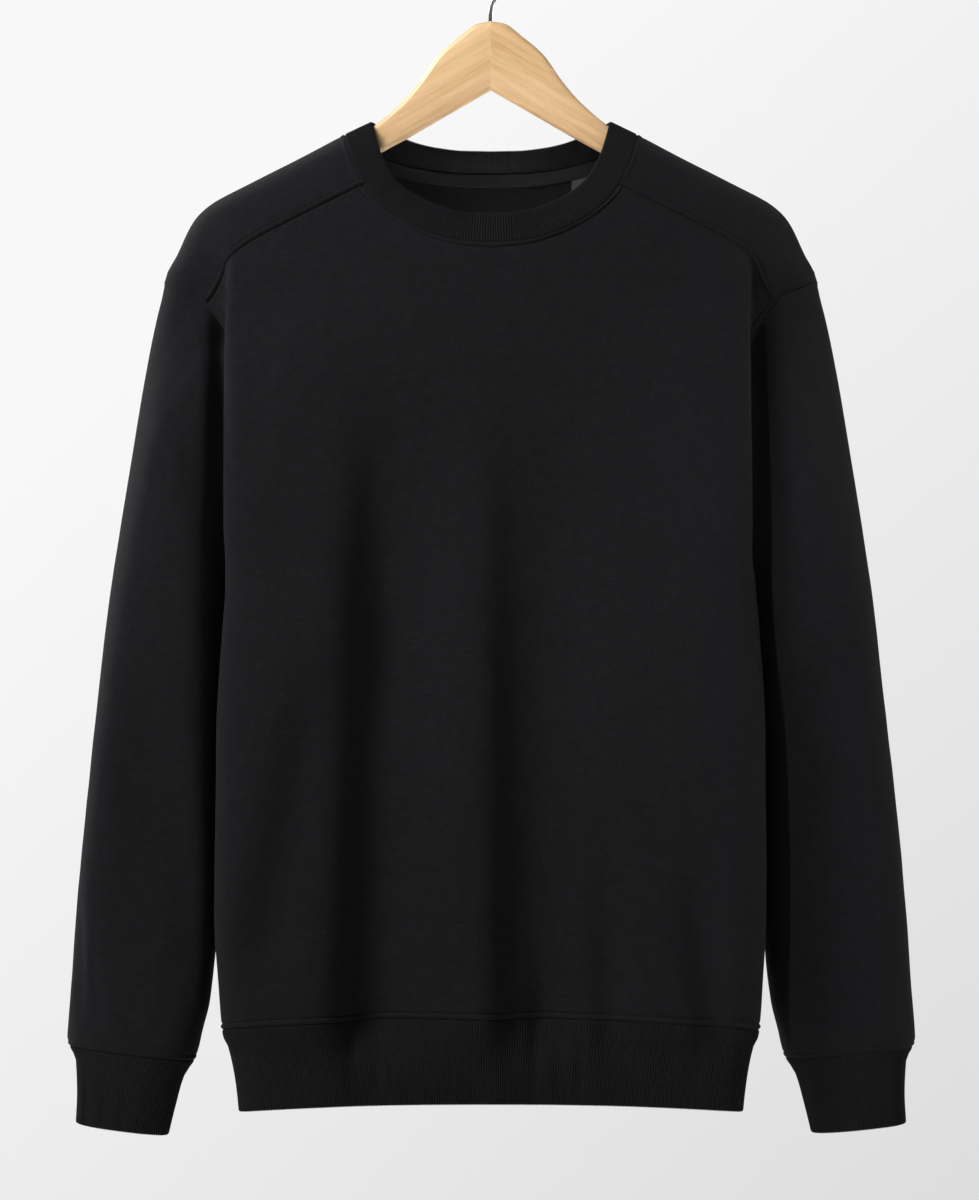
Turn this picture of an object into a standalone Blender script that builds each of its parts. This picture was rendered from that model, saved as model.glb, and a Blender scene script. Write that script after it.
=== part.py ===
"""Crewneck sweatshirt hanging on a flat wooden hanger with a wire hook.

Metres, +Z up, the front faces -Y. The origin is the top of the inside of the hook, where a rail carries it.
Left and right are as seen from the front. Every cloth piece is a closed wall: an outer face drawn through
named sections, an inner face one cloth thickness inside it, and a rim along each cut edge. The cloth is drawn
in the garment's frame, whose height 0 is the shoulder line beside the neck.
"""

import math

import bmesh
import bpy
import numpy as np

HOOK_TO_SHOULDER = 0.146

CLOTH_THICKNESS = 0.0020
RIB_THICKNESS = 0.0026
TAPE_THICKNESS = 0.0010
LABEL_THICKNESS = 0.0006
SEAM_GAP = 0.0003
LAID_GAP = 0.0005
THINNEST_MITRE = 0.7

FRONT = -1
BACK = 1
LEFT = -1
RIGHT = 1

# ---------------------------------------------------------------- torso sections

TORSO_COLUMNS = ("height", "half_width", "front", "back", "squareness")
TORSO_SECTIONS = (
    (0.0005, 0.1080, 0.0310, 0.0300, 2.00),
    (-0.0170, 0.1410, 0.0380, 0.0380, 2.00),
    (-0.0350, 0.1765, 0.0425, 0.0440, 2.00),
    (-0.0525, 0.2087, 0.0485, 0.0510, 2.00),
    (-0.0640, 0.2200, 0.0535, 0.0560, 2.00),
    (-0.0880, 0.2318, 0.0625, 0.0640, 2.05),
    (-0.1080, 0.2410, 0.0680, 0.0700, 2.15),
    (-0.1240, 0.2270, 0.0715, 0.0735, 2.35),
    (-0.1570, 0.2010, 0.0770, 0.0785, 3.10),
    (-0.2000, 0.1945, 0.0810, 0.0820, 3.80),
    (-0.2600, 0.1925, 0.0835, 0.0840, 4.20),
    (-0.3300, 0.1930, 0.0840, 0.0840, 4.00),
    (-0.3610, 0.1955, 0.0830, 0.0830, 3.80),
    (-0.4400, 0.2005, 0.0790, 0.0790, 3.40),
    (-0.5660, 0.2015, 0.0690, 0.0700, 3.10),
    (-0.6400, 0.2005, 0.0610, 0.0620, 2.90),
    (-0.6630, 0.1965, 0.0580, 0.0590, 2.80),
    (-0.6720, 0.1925, 0.0560, 0.0570, 2.80),
    (-0.7000, 0.1870, 0.0550, 0.0560, 2.80),
    (-0.7240, 0.1845, 0.0540, 0.0550, 2.80),
)
SECTION_STEPS = 121
SLOPE_STEP = 0.002

# Valleys of the hanging folds. They run down from "top" to "bottom"; each side has its own width.
FOLD_COLUMNS = ("side", "x_top", "x_bottom", "top", "bottom", "left_width", "right_width", "depth")
TORSO_FOLDS = (
    (FRONT, -0.0900, -0.0930, -0.200, -0.700, 0.026, 0.013, 0.0085),
    (FRONT, 0.0240, 0.0200, -0.225, -0.700, 0.026, 0.014, 0.0065),
    (FRONT, 0.1480, 0.1450, -0.430, -0.700, 0.022, 0.013, 0.0060),
    (FRONT, 0.0700, 0.0685, -0.540, -0.700, 0.014, 0.012, 0.0030),
    (FRONT, -0.1150, -0.1620, -0.340, -0.500, 0.034, 0.034, 0.0030),
    (BACK, -0.0700, -0.0820, -0.190, -0.700, 0.024, 0.020, 0.0075),
    (BACK, 0.0520, 0.0700, -0.240, -0.700, 0.022, 0.026, 0.0070),
    (BACK, -0.0080, 0.0020, -0.430, -0.700, 0.018, 0.018, 0.0045),
    (BACK, 0.1400, 0.1480, -0.400, -0.700, 0.020, 0.020, 0.0050),
    (BACK, -0.1440, -0.1500, -0.460, -0.700, 0.018, 0.022, 0.0045),
)
FOLD_FADE = 0.16
FOLD_FADE_AT_HEM = 0.10
FOLD_FADE_AT_SIDE = 0.05

# ---------------------------------------------------------------- seams

HEM_SEAM_SIDE = -0.6630
HEM_SEAM_FRONT = -0.6490
HEM_SEAM_BACK = -0.6540
HEM_SEAM_POWER = 2.6
HEM_RIB_HEIGHT_SIDE = 0.0590
HEM_RIB_HEIGHT_MIDDLE = 0.0620
HEM_RIB_ROWS = (1.0, 0.55, 0.0)

ARMHOLE_TOP = -0.1080
ARMHOLE_BOTTOM = -0.3300
ARMHOLE_FRONT_REACH = 0.0463
ARMHOLE_BACK_REACH = 0.0500
ARMHOLE_FULLNESS = 0.80
ARMHOLE_FRONT_TOP_HEAVINESS = 0.20

# Half of the neck seam as seen from the front, from the shoulder line to the centre: x and height.
NECK_SEAM_FRONT = (
    (0.1080, 0.0005),
    (0.1035, -0.0165),
    (0.0970, -0.0325),
    (0.0860, -0.0500),
    (0.0685, -0.0650),
    (0.0445, -0.0770),
    (0.0220, -0.0830),
    (0.0000, -0.0843),
)
NECK_SEAM_BACK = (
    (0.1080, 0.0005),
    (0.0960, -0.0035),
    (0.0820, -0.0075),
    (0.0660, -0.0125),
    (0.0480, -0.0180),
    (0.0250, -0.0225),
    (0.0000, -0.0235),
)

# Shoulder line along the hanger, and the seam in front of it that joins the back to the front: x and height.
SHOULDER_LINE_HEIGHTS = (-0.1080, -0.0880, -0.0700, -0.0585, -0.0525, -0.0380, -0.0190, 0.0005)
FORWARD_SEAM = (
    (0.2108, -0.1262),
    (0.2030, -0.1125),
    (0.1930, -0.0960),
    (0.1790, -0.0840),
    (0.1500, -0.0685),
    (0.0955, -0.0410),
)

# ---------------------------------------------------------------- how finely the cloth is drawn

FRONT_COLUMNS = 36
BACK_COLUMNS = 32
SIDE_ROWS = 6
FRONT_ARMHOLE_ROWS = 9
BACK_ARMHOLE_ROWS = 10
SHOULDER_ROWS = 7
WRAP_STEPS = (0.0, 0.11, 0.34, 0.66, 1.0)
SIDE_CROWDING = 0.45
ROW_BEND_POWER = 3
FRONT_ARMHOLE_CENTRE_TOP = -0.1400
BACK_ARMHOLE_CENTRE_TOP = -0.1180

# ---------------------------------------------------------------- sleeves and cuffs

# Each section of a sleeve is a ring through its outermost and innermost points.
SLEEVE_COLUMNS = (
    "outer_x", "outer_height", "inner_x", "inner_height", "half_depth", "centre_y", "squareness", "seam_pull",
)
SLEEVE_SECTIONS = (
    (0.2410, -0.1080, 0.1930, -0.3300, 0.0460, 0.0020, 2.2, 1.00),
    (0.2435, -0.1200, 0.1940, -0.3325, 0.0470, 0.0030, 2.2, 0.80),
    (0.2475, -0.1360, 0.1950, -0.3360, 0.0500, 0.0040, 2.2, 0.56),
    (0.2525, -0.1590, 0.1957, -0.3420, 0.0550, 0.0060, 2.2, 0.30),
    (0.2585, -0.1920, 0.1963, -0.3510, 0.0610, 0.0085, 2.2, 0.10),
    (0.2655, -0.2360, 0.1971, -0.3630, 0.0650, 0.0120, 2.2, 0.00),
    (0.2732, -0.2860, 0.1980, -0.3790, 0.0665, 0.0160, 2.2, 0.00),
    (0.2815, -0.3420, 0.1991, -0.4020, 0.0650, 0.0200, 2.2, 0.00),
    (0.2892, -0.4070, 0.2003, -0.4420, 0.0600, 0.0240, 2.2, 0.00),
    (0.2971, -0.4720, 0.2008, -0.4920, 0.0530, 0.0260, 2.2, 0.00),
    (0.3035, -0.5320, 0.2010, -0.5430, 0.0460, 0.0250, 2.2, 0.00),
    (0.3086, -0.5880, 0.2015, -0.5940, 0.0390, 0.0230, 2.2, 0.00),
    (0.3123, -0.6380, 0.2045, -0.6420, 0.0320, 0.0200, 2.2, 0.00),
    (0.3140, -0.6610, 0.2118, -0.6660, 0.0290, 0.0190, 2.2, 0.00),
    (0.3132, -0.6695, 0.2158, -0.6780, 0.0268, 0.0185, 2.2, 0.00),
    (0.3066, -0.6730, 0.2184, -0.6850, 0.0240, 0.0180, 2.2, 0.00),
)
CUFF_SECTIONS = (
    (0.3066, -0.6730, 0.2184, -0.6850, 0.0240, 0.0180, 2.2, 0.00),
    (0.3068, -0.6870, 0.2262, -0.6970, 0.0232, 0.0180, 2.2, 0.00),
    (0.3070, -0.7095, 0.2322, -0.7175, 0.0222, 0.0180, 2.2, 0.00),
    (0.3073, -0.7305, 0.2378, -0.7400, 0.0215, 0.0180, 2.2, 0.00),
)
# Below the elbow the right sleeve hangs a little further back and further out than the left one.
RIGHT_SLEEVE_BACK_SHIFT = 0.0060
RIGHT_SLEEVE_OUT_SHIFT = 0.0014
SHIFT_START = -0.200
SHIFT_END = -0.450

# Soft troughs on the sleeves; the angle turns from the outer side (0) over the front (90 degrees).
SLEEVE_FOLD_COLUMNS = ("side", "angle_top", "angle_bottom", "top", "bottom", "width", "depth")
SLEEVE_FOLDS = (
    (LEFT, 84, 122, -0.400, -0.660, 16, 0.0035),
    (LEFT, 30, 42, -0.560, -0.668, 15, 0.0030),
    (LEFT, -88, -112, -0.300, -0.560, 18, 0.0040),
    (LEFT, -60, -50, -0.520, -0.668, 16, 0.0030),
    (RIGHT, 44, 58, -0.120, -0.300, 16, 0.0035),
    (RIGHT, 86, 98, -0.370, -0.500, 18, 0.0030),
    (RIGHT, 70, 84, -0.600, -0.668, 15, 0.0030),
    (RIGHT, -80, -106, -0.260, -0.520, 18, 0.0040),
    (RIGHT, -64, -48, -0.500, -0.668, 16, 0.0030),
)

# ---------------------------------------------------------------- neckband, tape and label

NECK_RIB_WIDTH = 0.0220
NECK_RIB_ROWS = 2
NECK_RIB_LEAN_FRONT = math.radians(14)
NECK_RIB_LEAN_BACK = math.radians(48)
NECK_RIB_LEAN_SHOULDER = math.radians(62.6)

TAPE_WIDTH = 0.0095
TAPE_TOP = 0.0012
TAPE_REACH = 0.075
TAPE_STEPS = 24
TAPE_ROWS = 1

LABEL_CENTRE = 0.0664
LABEL_WIDTH = 0.0130
LABEL_TOP = TAPE_TOP + TAPE_WIDTH + SEAM_GAP
LABEL_LENGTH = 0.0200
LABEL_STEPS = 3
LABEL_ROWS = 3

# ---------------------------------------------------------------- hanger and hook

HANGER_THICKNESS = 0.0120
HANGER_EDGE_ROUNDING = 0.0057
HANGER_EDGE_SEGMENTS = 3
HANGER_END = 0.2110
HANGER_ARM_HEIGHT = 0.0225
HANGER_END_RADIUS = 0.0090
HANGER_END_POINTS = 7
CREST_CLEARANCE = 0.0009
NECKBAND_CLEARANCE = 0.0010
JOINT_GAP = 0.0003
# Top edge from the centre to where the arm goes under the cloth, and the bottom edge of the centre's vee.
HANGER_TOP = (
    (0.0000, 0.0840),
    (0.0100, 0.0822),
    (0.0230, 0.0728),
    (0.0380, 0.0600),
    (0.0520, 0.0407),
    (0.0640, 0.0262),
    (0.0760, 0.0150),
)
HANGER_TOP_POINTS = 12
HANGER_VEE = (
    (0.0000, 0.0333),
    (0.0614, -0.0022),
)
HANGER_ARM_START = 0.0860

WIRE_RADIUS = 0.0019
HOOK_INNER_RADIUS = 0.0190
HOOK_TIP_ANGLE = math.radians(200)
HOOK_TURN_ANGLE = math.radians(-62)
HOOK_ARC_POINTS = 22
HOOK_NECK_HEIGHT = 0.0480
HOOK_NECK_POINTS = 6
HOOK_NECK_EASE = 0.4
STEM_DEPTH = 0.0200
STEM_CLEARANCE = 0.0003
BORE_SIDES = 16

CLOTH_COLOUR = (0.012, 0.012, 0.014)
RIB_COLOUR = (0.014, 0.014, 0.016)
TAPE_COLOUR = (0.020, 0.020, 0.022)
LABEL_COLOUR = (0.30, 0.30, 0.31)
WOOD_COLOUR = (0.78, 0.50, 0.23)
STEEL_COLOUR = (0.55, 0.55, 0.56)


# ---------------------------------------------------------------- curves from tables


def columns(names, rows):
    """The table's columns by name, as arrays."""
    return dict(zip(names, np.array(rows, dtype=float).T))


def smooth_through(knots, values, at):
    """Monotone cubic through the knots: smooth, and never past a value in the table."""
    knots = np.asarray(knots, dtype=float)
    values = np.asarray(values, dtype=float)
    if knots[0] > knots[-1]:
        knots = knots[::-1]
        values = values[::-1]
    width = np.diff(knots)
    rise = np.diff(values) / width
    slope = np.zeros(len(knots))
    slope[0] = rise[0]
    slope[-1] = rise[-1]
    same_way = rise[1:] * rise[:-1] > 0
    mean = 2 * rise[1:] * rise[:-1] / np.where(same_way, rise[1:] + rise[:-1], 1)
    slope[1:-1] = np.where(same_way, mean, 0)
    cell = np.clip(np.searchsorted(knots, at) - 1, 0, len(width) - 1)
    part = np.clip((at - knots[cell]) / width[cell], 0, 1)
    start = values[cell] + part * width[cell] * slope[cell]
    turn = 3 * rise[cell] - 2 * slope[cell] - slope[cell + 1]
    bend = slope[cell] + slope[cell + 1] - 2 * rise[cell]
    return start + width[cell] * (turn * part**2 + bend * part**3)


def soft_step(value):
    """Rises smoothly from 0 to 1 as the value does."""
    part = np.clip(value, 0, 1)
    return part * part * (3 - 2 * part)


def even_points(outline, count):
    """Points at even spacing along an outline of (x, height) rows, drawn smooth."""
    outline = np.array(outline, dtype=float)
    run = np.concatenate(([0], np.cumsum(np.linalg.norm(np.diff(outline, axis=0), axis=1))))
    fine = np.linspace(0, run[-1], 200)
    smooth = np.column_stack([smooth_through(run, outline[:, k], fine) for k in (0, 1)])
    length = np.concatenate(([0], np.cumsum(np.linalg.norm(np.diff(smooth, axis=0), axis=1))))
    wanted = np.linspace(0, length[-1], count)
    return np.column_stack([np.interp(wanted, length, smooth[:, k]) for k in (0, 1)])


TORSO = columns(TORSO_COLUMNS, TORSO_SECTIONS)
FOLDS = [dict(zip(FOLD_COLUMNS, row)) for row in TORSO_FOLDS]
SLEEVE_TROUGHS = [dict(zip(SLEEVE_FOLD_COLUMNS, row)) for row in SLEEVE_FOLDS]


# ---------------------------------------------------------------- the torso's surface


def torso_value(name, height):
    return float(smooth_through(TORSO["height"], TORSO[name], height))


def section(side, height):
    """Half of the level outline at this height: distance along it from the side, x and y."""
    half_width = torso_value("half_width", height)
    depth = torso_value("front" if side == FRONT else "back", height)
    power = 2 / torso_value("squareness", height)
    angle = np.linspace(0, math.pi / 2, SECTION_STEPS)
    x = half_width * np.cos(angle) ** power
    y = side * depth * np.sin(angle) ** power
    x[-1] = 0.0
    run = np.concatenate(([0], np.cumsum(np.hypot(np.diff(x), np.diff(y)))))
    return run, x, y


def fold_depth(side, x, height):
    """How far the folds push the cloth in at this place."""
    total = 0.0
    for fold in FOLDS:
        if fold["side"] != side or not fold["bottom"] < height < fold["top"]:
            continue
        down = (fold["top"] - height) / (fold["top"] - fold["bottom"])
        across = x - (fold["x_top"] + (fold["x_bottom"] - fold["x_top"]) * down)
        width = fold["left_width"] if across < 0 else fold["right_width"]
        start = soft_step((fold["top"] - height) / FOLD_FADE)
        end = soft_step((height - fold["bottom"]) / FOLD_FADE_AT_HEM)
        total += fold["depth"] * start * end * math.exp(-((across / width) ** 2))
    return total


def torso_point(side, across, height):
    """A point of the torso: across runs from -1 at the left side over 0 at the centre to 1 at the right."""
    run, x, y = section(side, height)
    place = run[-1] * (1 - abs(across))
    way = LEFT if across < 0 else RIGHT
    here_x = np.interp(place, run, x)
    here_y = np.interp(place, run, y)
    push = fold_depth(side, way * here_x, height) * float(soft_step(place / FOLD_FADE_AT_SIDE))
    if push:
        near = max(place - SLOPE_STEP, 0)
        far = min(place + SLOPE_STEP, run[-1])
        run_x = np.interp(far, run, x) - np.interp(near, run, x)
        run_y = np.interp(far, run, y) - np.interp(near, run, y)
        length = math.hypot(run_x, run_y)
        here_x -= push * abs(run_y) / length
        here_y -= side * push * abs(run_x) / length
    return np.array((way * here_x, here_y, height))


def across_at_x(side, x, height):
    """The across value of the point at this x."""
    run, xs, _ = section(side, height)
    place = np.interp(-abs(x), -xs, run)
    return math.copysign(1 - place / run[-1], x)


def across_at_depth(side, depth, height):
    """The across value, on the right half, of the point this far in front of or behind the side."""
    run, _, ys = section(side, height)
    place = np.interp(depth, np.abs(ys), run)
    return 1 - place / run[-1]


def armhole_place(side, angle):
    """Across value and height on the armhole; the angle is 0 at the shoulder tip and pi at the armpit."""
    middle = (ARMHOLE_TOP + ARMHOLE_BOTTOM) / 2
    half = (ARMHOLE_TOP - ARMHOLE_BOTTOM) / 2
    height = middle + half * math.cos(angle)
    reach = ARMHOLE_BACK_REACH
    if side == FRONT:
        reach = ARMHOLE_FRONT_REACH * (1 + ARMHOLE_FRONT_TOP_HEAVINESS * math.cos(angle))
    depth = reach * max(math.sin(angle), 0.0) ** ARMHOLE_FULLNESS
    if angle in (0.0, math.pi):
        depth = 0.0
    return across_at_depth(side, depth, height), height


def armhole_angle(height):
    middle = (ARMHOLE_TOP + ARMHOLE_BOTTOM) / 2
    half = (ARMHOLE_TOP - ARMHOLE_BOTTOM) / 2
    return math.acos((height - middle) / half)


SEAM_END_ANGLE = armhole_angle(FORWARD_SEAM[0][1])
FRONT_ARMHOLE_ANGLES = np.linspace(math.pi, SEAM_END_ANGLE, FRONT_ARMHOLE_ROWS + 1)
BACK_ARMHOLE_ANGLES = np.linspace(math.pi, 0.0, BACK_ARMHOLE_ROWS + 1)
WRAP_ARMHOLE_ANGLES = np.array(WRAP_STEPS) * SEAM_END_ANGLE


# ---------------------------------------------------------------- drawing a piece of cloth


class Piece:
    """A cut piece: points of its outer face and the four-sided cells between them."""

    def __init__(self, name, thickness):
        self.name = name
        self.thickness = thickness
        self.points = []
        self.cells = []
        self.index = {}

    def point(self, place):
        key = tuple(np.round(place, 7))
        if key not in self.index:
            self.index[key] = len(self.points)
            self.points.append(np.array(place, dtype=float))
        return self.index[key]

    def add_block(self, rows, closed=False, flip=False):
        """Cells between rows of points; the outer side is where columns cross rows, or its opposite."""
        grid = [[self.point(place) for place in row] for row in rows]
        for low, high in zip(grid, grid[1:]):
            last = len(low) if closed else len(low) - 1
            for c in range(last):
                n = (c + 1) % len(low)
                cell = (low[c], low[n], high[n], high[c])
                self.cells.append(cell[::-1] if flip else cell)

    def normals(self):
        places = np.array(self.points)
        total = np.zeros_like(places)
        for a, b, c, d in self.cells:
            facing = np.cross(places[c] - places[a], places[d] - places[b])
            for corner in (a, b, c, d):
                total[corner] += facing
        return total / np.linalg.norm(total, axis=1)[:, None]

    def rim(self):
        """The cut edges, as pairs of points in the order of their cells."""
        sides = {(cell[k], cell[(k + 1) % 4]) for cell in self.cells for k in range(4)}
        return [(a, b) for a, b in sides if (b, a) not in sides]


def seam_normals(pieces):
    """The direction through the cloth at each cut edge, shared by the pieces that meet there."""
    meeting = {}
    for piece in pieces:
        facing = piece.normals()
        for start, _ in piece.rim():
            key = tuple(np.round(piece.points[start], 6))
            meeting.setdefault(key, []).append(facing[start])
    shared = {}
    for key, directions in meeting.items():
        pairs = [(first.dot(second), k, n) for k, first in enumerate(directions)
                 for n, second in enumerate(directions)]
        _, k, n = min(pairs)
        between = directions[k] + directions[n]
        shared[key] = between / np.linalg.norm(between)
    return shared


def wall_mesh(piece, shared):
    """The closed wall of a piece, its cut edges drawn back by half the seam's gap."""
    outer = np.array(piece.points)
    facing = piece.normals()
    rim = piece.rim()
    after = dict(rim)
    before = {b: a for a, b in rim}
    through = facing * piece.thickness
    drawn_back = outer.copy()
    for corner in after:
        facing_here = shared.get(tuple(np.round(outer[corner], 6)), facing[corner])
        along = outer[after[corner]] - outer[before[corner]]
        inward = np.cross(facing_here, along)
        drawn_back[corner] += inward / np.linalg.norm(inward) * SEAM_GAP / 2
        through[corner] = facing_here * piece.thickness / max(facing_here.dot(facing[corner]), THINNEST_MITRE)
    inner = drawn_back - through
    count = len(outer)
    triangles = []
    for a, b, c, d in piece.cells:
        first = np.linalg.norm(outer[a] - outer[c])
        second = np.linalg.norm(outer[b] - outer[d])
        halves = ((a, b, c), (a, c, d)) if first <= second else ((a, b, d), (b, c, d))
        for p, q, r in halves:
            triangles.append((p, q, r))
            triangles.append((r + count, q + count, p + count))
    for a, b in rim:
        if tuple(outer[a]) < tuple(outer[b]):
            triangles += [(b, a, b + count), (a, a + count, b + count)]
        else:
            triangles += [(b, a, a + count), (b, a + count, b + count)]
    mesh = bpy.data.meshes.new(piece.name)
    places = np.vstack((drawn_back, inner))
    mesh.from_pydata([tuple(place) for place in places], [], triangles)
    mesh.update()
    return mesh


# ---------------------------------------------------------------- front and back


def spread(count):
    """Across values from -1 to 1, a little closer together towards the sides."""
    even = np.linspace(-1, 1, count + 1)
    return (1 - SIDE_CROWDING) * even + SIDE_CROWDING * np.sin(even * math.pi / 2)


def hem_seam_height(side, across):
    middle = HEM_SEAM_FRONT if side == FRONT else HEM_SEAM_BACK
    return middle + (HEM_SEAM_SIDE - middle) * abs(across) ** HEM_SEAM_POWER


def side_rows(side):
    """Rows from the hem seam to just under the armpit: edge across, edge height and centre height."""
    middle = HEM_SEAM_FRONT if side == FRONT else HEM_SEAM_BACK
    part = np.arange(SIDE_ROWS) / SIDE_ROWS
    edge_heights = HEM_SEAM_SIDE + (ARMHOLE_BOTTOM - HEM_SEAM_SIDE) * part
    centre_heights = middle + (ARMHOLE_BOTTOM - middle) * part
    return [(1.0, edge, centre) for edge, centre in zip(edge_heights, centre_heights)]


def armhole_rows(side, angles, centre_top):
    """Rows from the armpit up to the top of this panel's part of the armhole."""
    centre_heights = np.linspace(ARMHOLE_BOTTOM, centre_top, len(angles))
    rows = []
    for angle, centre in zip(angles, centre_heights):
        edge_across, edge_height = armhole_place(side, angle)
        rows.append((edge_across, edge_height, centre))
    return rows


def row_place(row, across):
    """Across value and height on a bent row."""
    edge_across, edge_height, centre_height = row
    height = centre_height + (edge_height - centre_height) * abs(across) ** ROW_BEND_POWER
    return across * edge_across, height


def neck_places(side, half_seam, spread_values):
    """Across values and heights along the neck seam, from left to right."""
    half = even_points(half_seam, 101)
    part = np.linspace(0, 1, 101)
    places = []
    for value in spread_values:
        x = np.interp(1 - abs(value), part, half[:, 0])
        height = np.interp(1 - abs(value), part, half[:, 1])
        across = across_at_x(side, x, height)
        places.append((math.copysign(across, value), height))
    return places


def shoulder_rows(side, bottom_row, edges, neck, spread_values):
    """Rows from the last armhole row to the neck seam; the edges give each row's ends."""
    start_across, start_height = edges[0]
    end_across, end_height = edges[-1]
    rows = []
    for edge_across, edge_height in edges[1:]:
        part = (edge_height - start_height) / (end_height - start_height)
        row = []
        for value, (neck_across, neck_height) in zip(spread_values, neck):
            low_across, low_height = row_place(bottom_row, value)
            share = (1 - part) * low_across / start_across + part * neck_across / end_across
            height = (1 - part) * low_height + part * neck_height
            row.append(torso_point(side, share * edge_across, height))
        rows.append(row)
    return rows


def shoulder_line_places():
    return [(1.0, height) for height in SHOULDER_LINE_HEIGHTS]


def front_neck_half():
    """The front neck seam from the forward shoulder seam to the centre."""
    seam = np.array(NECK_SEAM_FRONT)
    meet = FORWARD_SEAM[-1][1]
    x = float(smooth_through(seam[:, 1], seam[:, 0], meet))
    return [(x, meet)] + [tuple(row) for row in seam if row[1] < meet]


def forward_seam_places():
    """Across values and heights along the forward seam, from the armhole to the neck."""
    places = []
    for x, height in even_points(FORWARD_SEAM, SHOULDER_ROWS + 1):
        places.append((across_at_x(FRONT, x, height), height))
    places[0] = armhole_place(FRONT, SEAM_END_ANGLE)
    neck_x, neck_height = front_neck_half()[0]
    places[-1] = (across_at_x(FRONT, neck_x, neck_height), neck_height)
    return places


def wrap_rows():
    """The back's strip in front of the shoulder line, on the right half, from the line to the seam."""
    line = shoulder_line_places()
    seam = forward_seam_places()
    neck = np.array(NECK_SEAM_FRONT)
    armhole = [armhole_place(FRONT, angle) for angle in WRAP_ARMHOLE_ANGLES]
    rows = []
    for step, (arm_across, arm_height) in zip(WRAP_STEPS, armhole):
        neck_height = neck[0, 1] + (seam[-1][1] - neck[0, 1]) * step
        neck_x = float(smooth_through(neck[:, 1], neck[:, 0], neck_height))
        neck_across = across_at_x(FRONT, neck_x, neck_height) if step else 1.0
        if step == 1.0:
            neck_across = seam[-1][0]
        row = []
        for m, (line_place, seam_place) in enumerate(zip(line, seam)):
            part = m / SHOULDER_ROWS
            between = np.array(line_place) * (1 - step) + np.array(seam_place) * step
            first = np.array(line[0]) * (1 - step) + np.array(seam[0]) * step
            last = np.array(line[-1]) * (1 - step) + np.array(seam[-1]) * step
            mend = (np.array((arm_across, arm_height)) - first) * (1 - part)
            mend = mend + (np.array((neck_across, neck_height)) - last) * part
            row.append(tuple(between + mend))
        rows.append(row)
    return rows


def make_front():
    piece = Piece("front", CLOTH_THICKNESS)
    across_values = spread(FRONT_COLUMNS)
    side = side_rows(FRONT)
    armhole = armhole_rows(FRONT, FRONT_ARMHOLE_ANGLES, FRONT_ARMHOLE_CENTRE_TOP)
    grid = []
    for row in side + armhole:
        grid.append([torso_point(FRONT, *row_place(row, value)) for value in across_values])
    grid[0] = [torso_point(FRONT, value, hem_seam_height(FRONT, value)) for value in across_values]
    neck = neck_places(FRONT, front_neck_half(), across_values)
    grid += shoulder_rows(FRONT, armhole[-1], forward_seam_places(), neck, across_values)
    piece.add_block(grid)
    return piece


def make_back():
    piece = Piece("back", CLOTH_THICKNESS)
    across_values = spread(BACK_COLUMNS)
    side = side_rows(BACK)
    armhole = armhole_rows(BACK, BACK_ARMHOLE_ANGLES, BACK_ARMHOLE_CENTRE_TOP)
    grid = []
    for row in side + armhole:
        grid.append([torso_point(BACK, *row_place(row, value)) for value in across_values])
    grid[0] = [torso_point(BACK, value, hem_seam_height(BACK, value)) for value in across_values]
    neck = neck_places(BACK, NECK_SEAM_BACK, across_values)
    grid += shoulder_rows(BACK, armhole[-1], shoulder_line_places(), neck, across_values)
    piece.add_block(grid, flip=True)
    for way in (LEFT, RIGHT):
        strip = [[torso_point(FRONT, way * a, h) for a, h in row] for row in wrap_rows()]
        strip[0] = [torso_point(BACK, way, height) for height in SHOULDER_LINE_HEIGHTS]
        piece.add_block(strip, flip=way == LEFT)
    return piece


# ---------------------------------------------------------------- sleeves and cuffs


def ring_angles():
    """Signed angles round a sleeve from the armpit over the front, the shoulder tip and the back."""
    front = list(FRONT_ARMHOLE_ANGLES)
    wrap = list(WRAP_ARMHOLE_ANGLES[::-1])[1:]
    back = [-angle for angle in BACK_ARMHOLE_ANGLES[::-1]][1:-1]
    return front + wrap + back


def signed_power(value, power):
    return math.copysign(abs(value) ** power, value)


def trough_depth(way, angle, height):
    total = 0.0
    for trough in SLEEVE_TROUGHS:
        if trough["side"] != way or not trough["bottom"] < height < trough["top"]:
            continue
        down = (trough["top"] - height) / (trough["top"] - trough["bottom"])
        centre = trough["angle_top"] + (trough["angle_bottom"] - trough["angle_top"]) * down
        off = (math.degrees(angle) - centre) / trough["width"]
        total += trough["depth"] * math.sin(math.pi * down) * math.exp(-(off**2))
    return total


def sleeve_point(way, ring, angle):
    """A point on a sleeve's ring; the angle is 0 on the outside and a quarter turn at the front."""
    outer = np.array((way * ring["outer_x"], 0.0, ring["outer_height"]))
    inner = np.array((way * ring["inner_x"], 0.0, ring["inner_height"]))
    power = 2 / ring["squareness"]
    middle_height = (ring["outer_height"] + ring["inner_height"]) / 2
    middle = (outer + inner) / 2 + np.array((0.0, ring["centre_y"], 0.0))
    if way == RIGHT:
        share = float(soft_step((SHIFT_START - middle_height) / (SHIFT_START - SHIFT_END)))
        middle += np.array((RIGHT_SLEEVE_OUT_SHIFT, RIGHT_SLEEVE_BACK_SHIFT, 0.0)) * share
    half = (outer - inner) / 2
    place = middle + half * signed_power(math.cos(angle), power)
    place = place - np.array((0.0, ring["half_depth"], 0.0)) * signed_power(math.sin(angle), power)
    push = trough_depth(way, angle, place[2])
    return place + (middle - place) / np.linalg.norm(middle - place) * push


def armhole_ring(way):
    """The armhole seam's points in the order of ring_angles."""
    places = []
    for angle in ring_angles():
        side = FRONT if angle >= 0 else BACK
        across, height = armhole_place(side, abs(angle))
        side = BACK if angle in (0.0, math.pi) else side
        places.append(torso_point(side, way * across, height))
    return places


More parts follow.
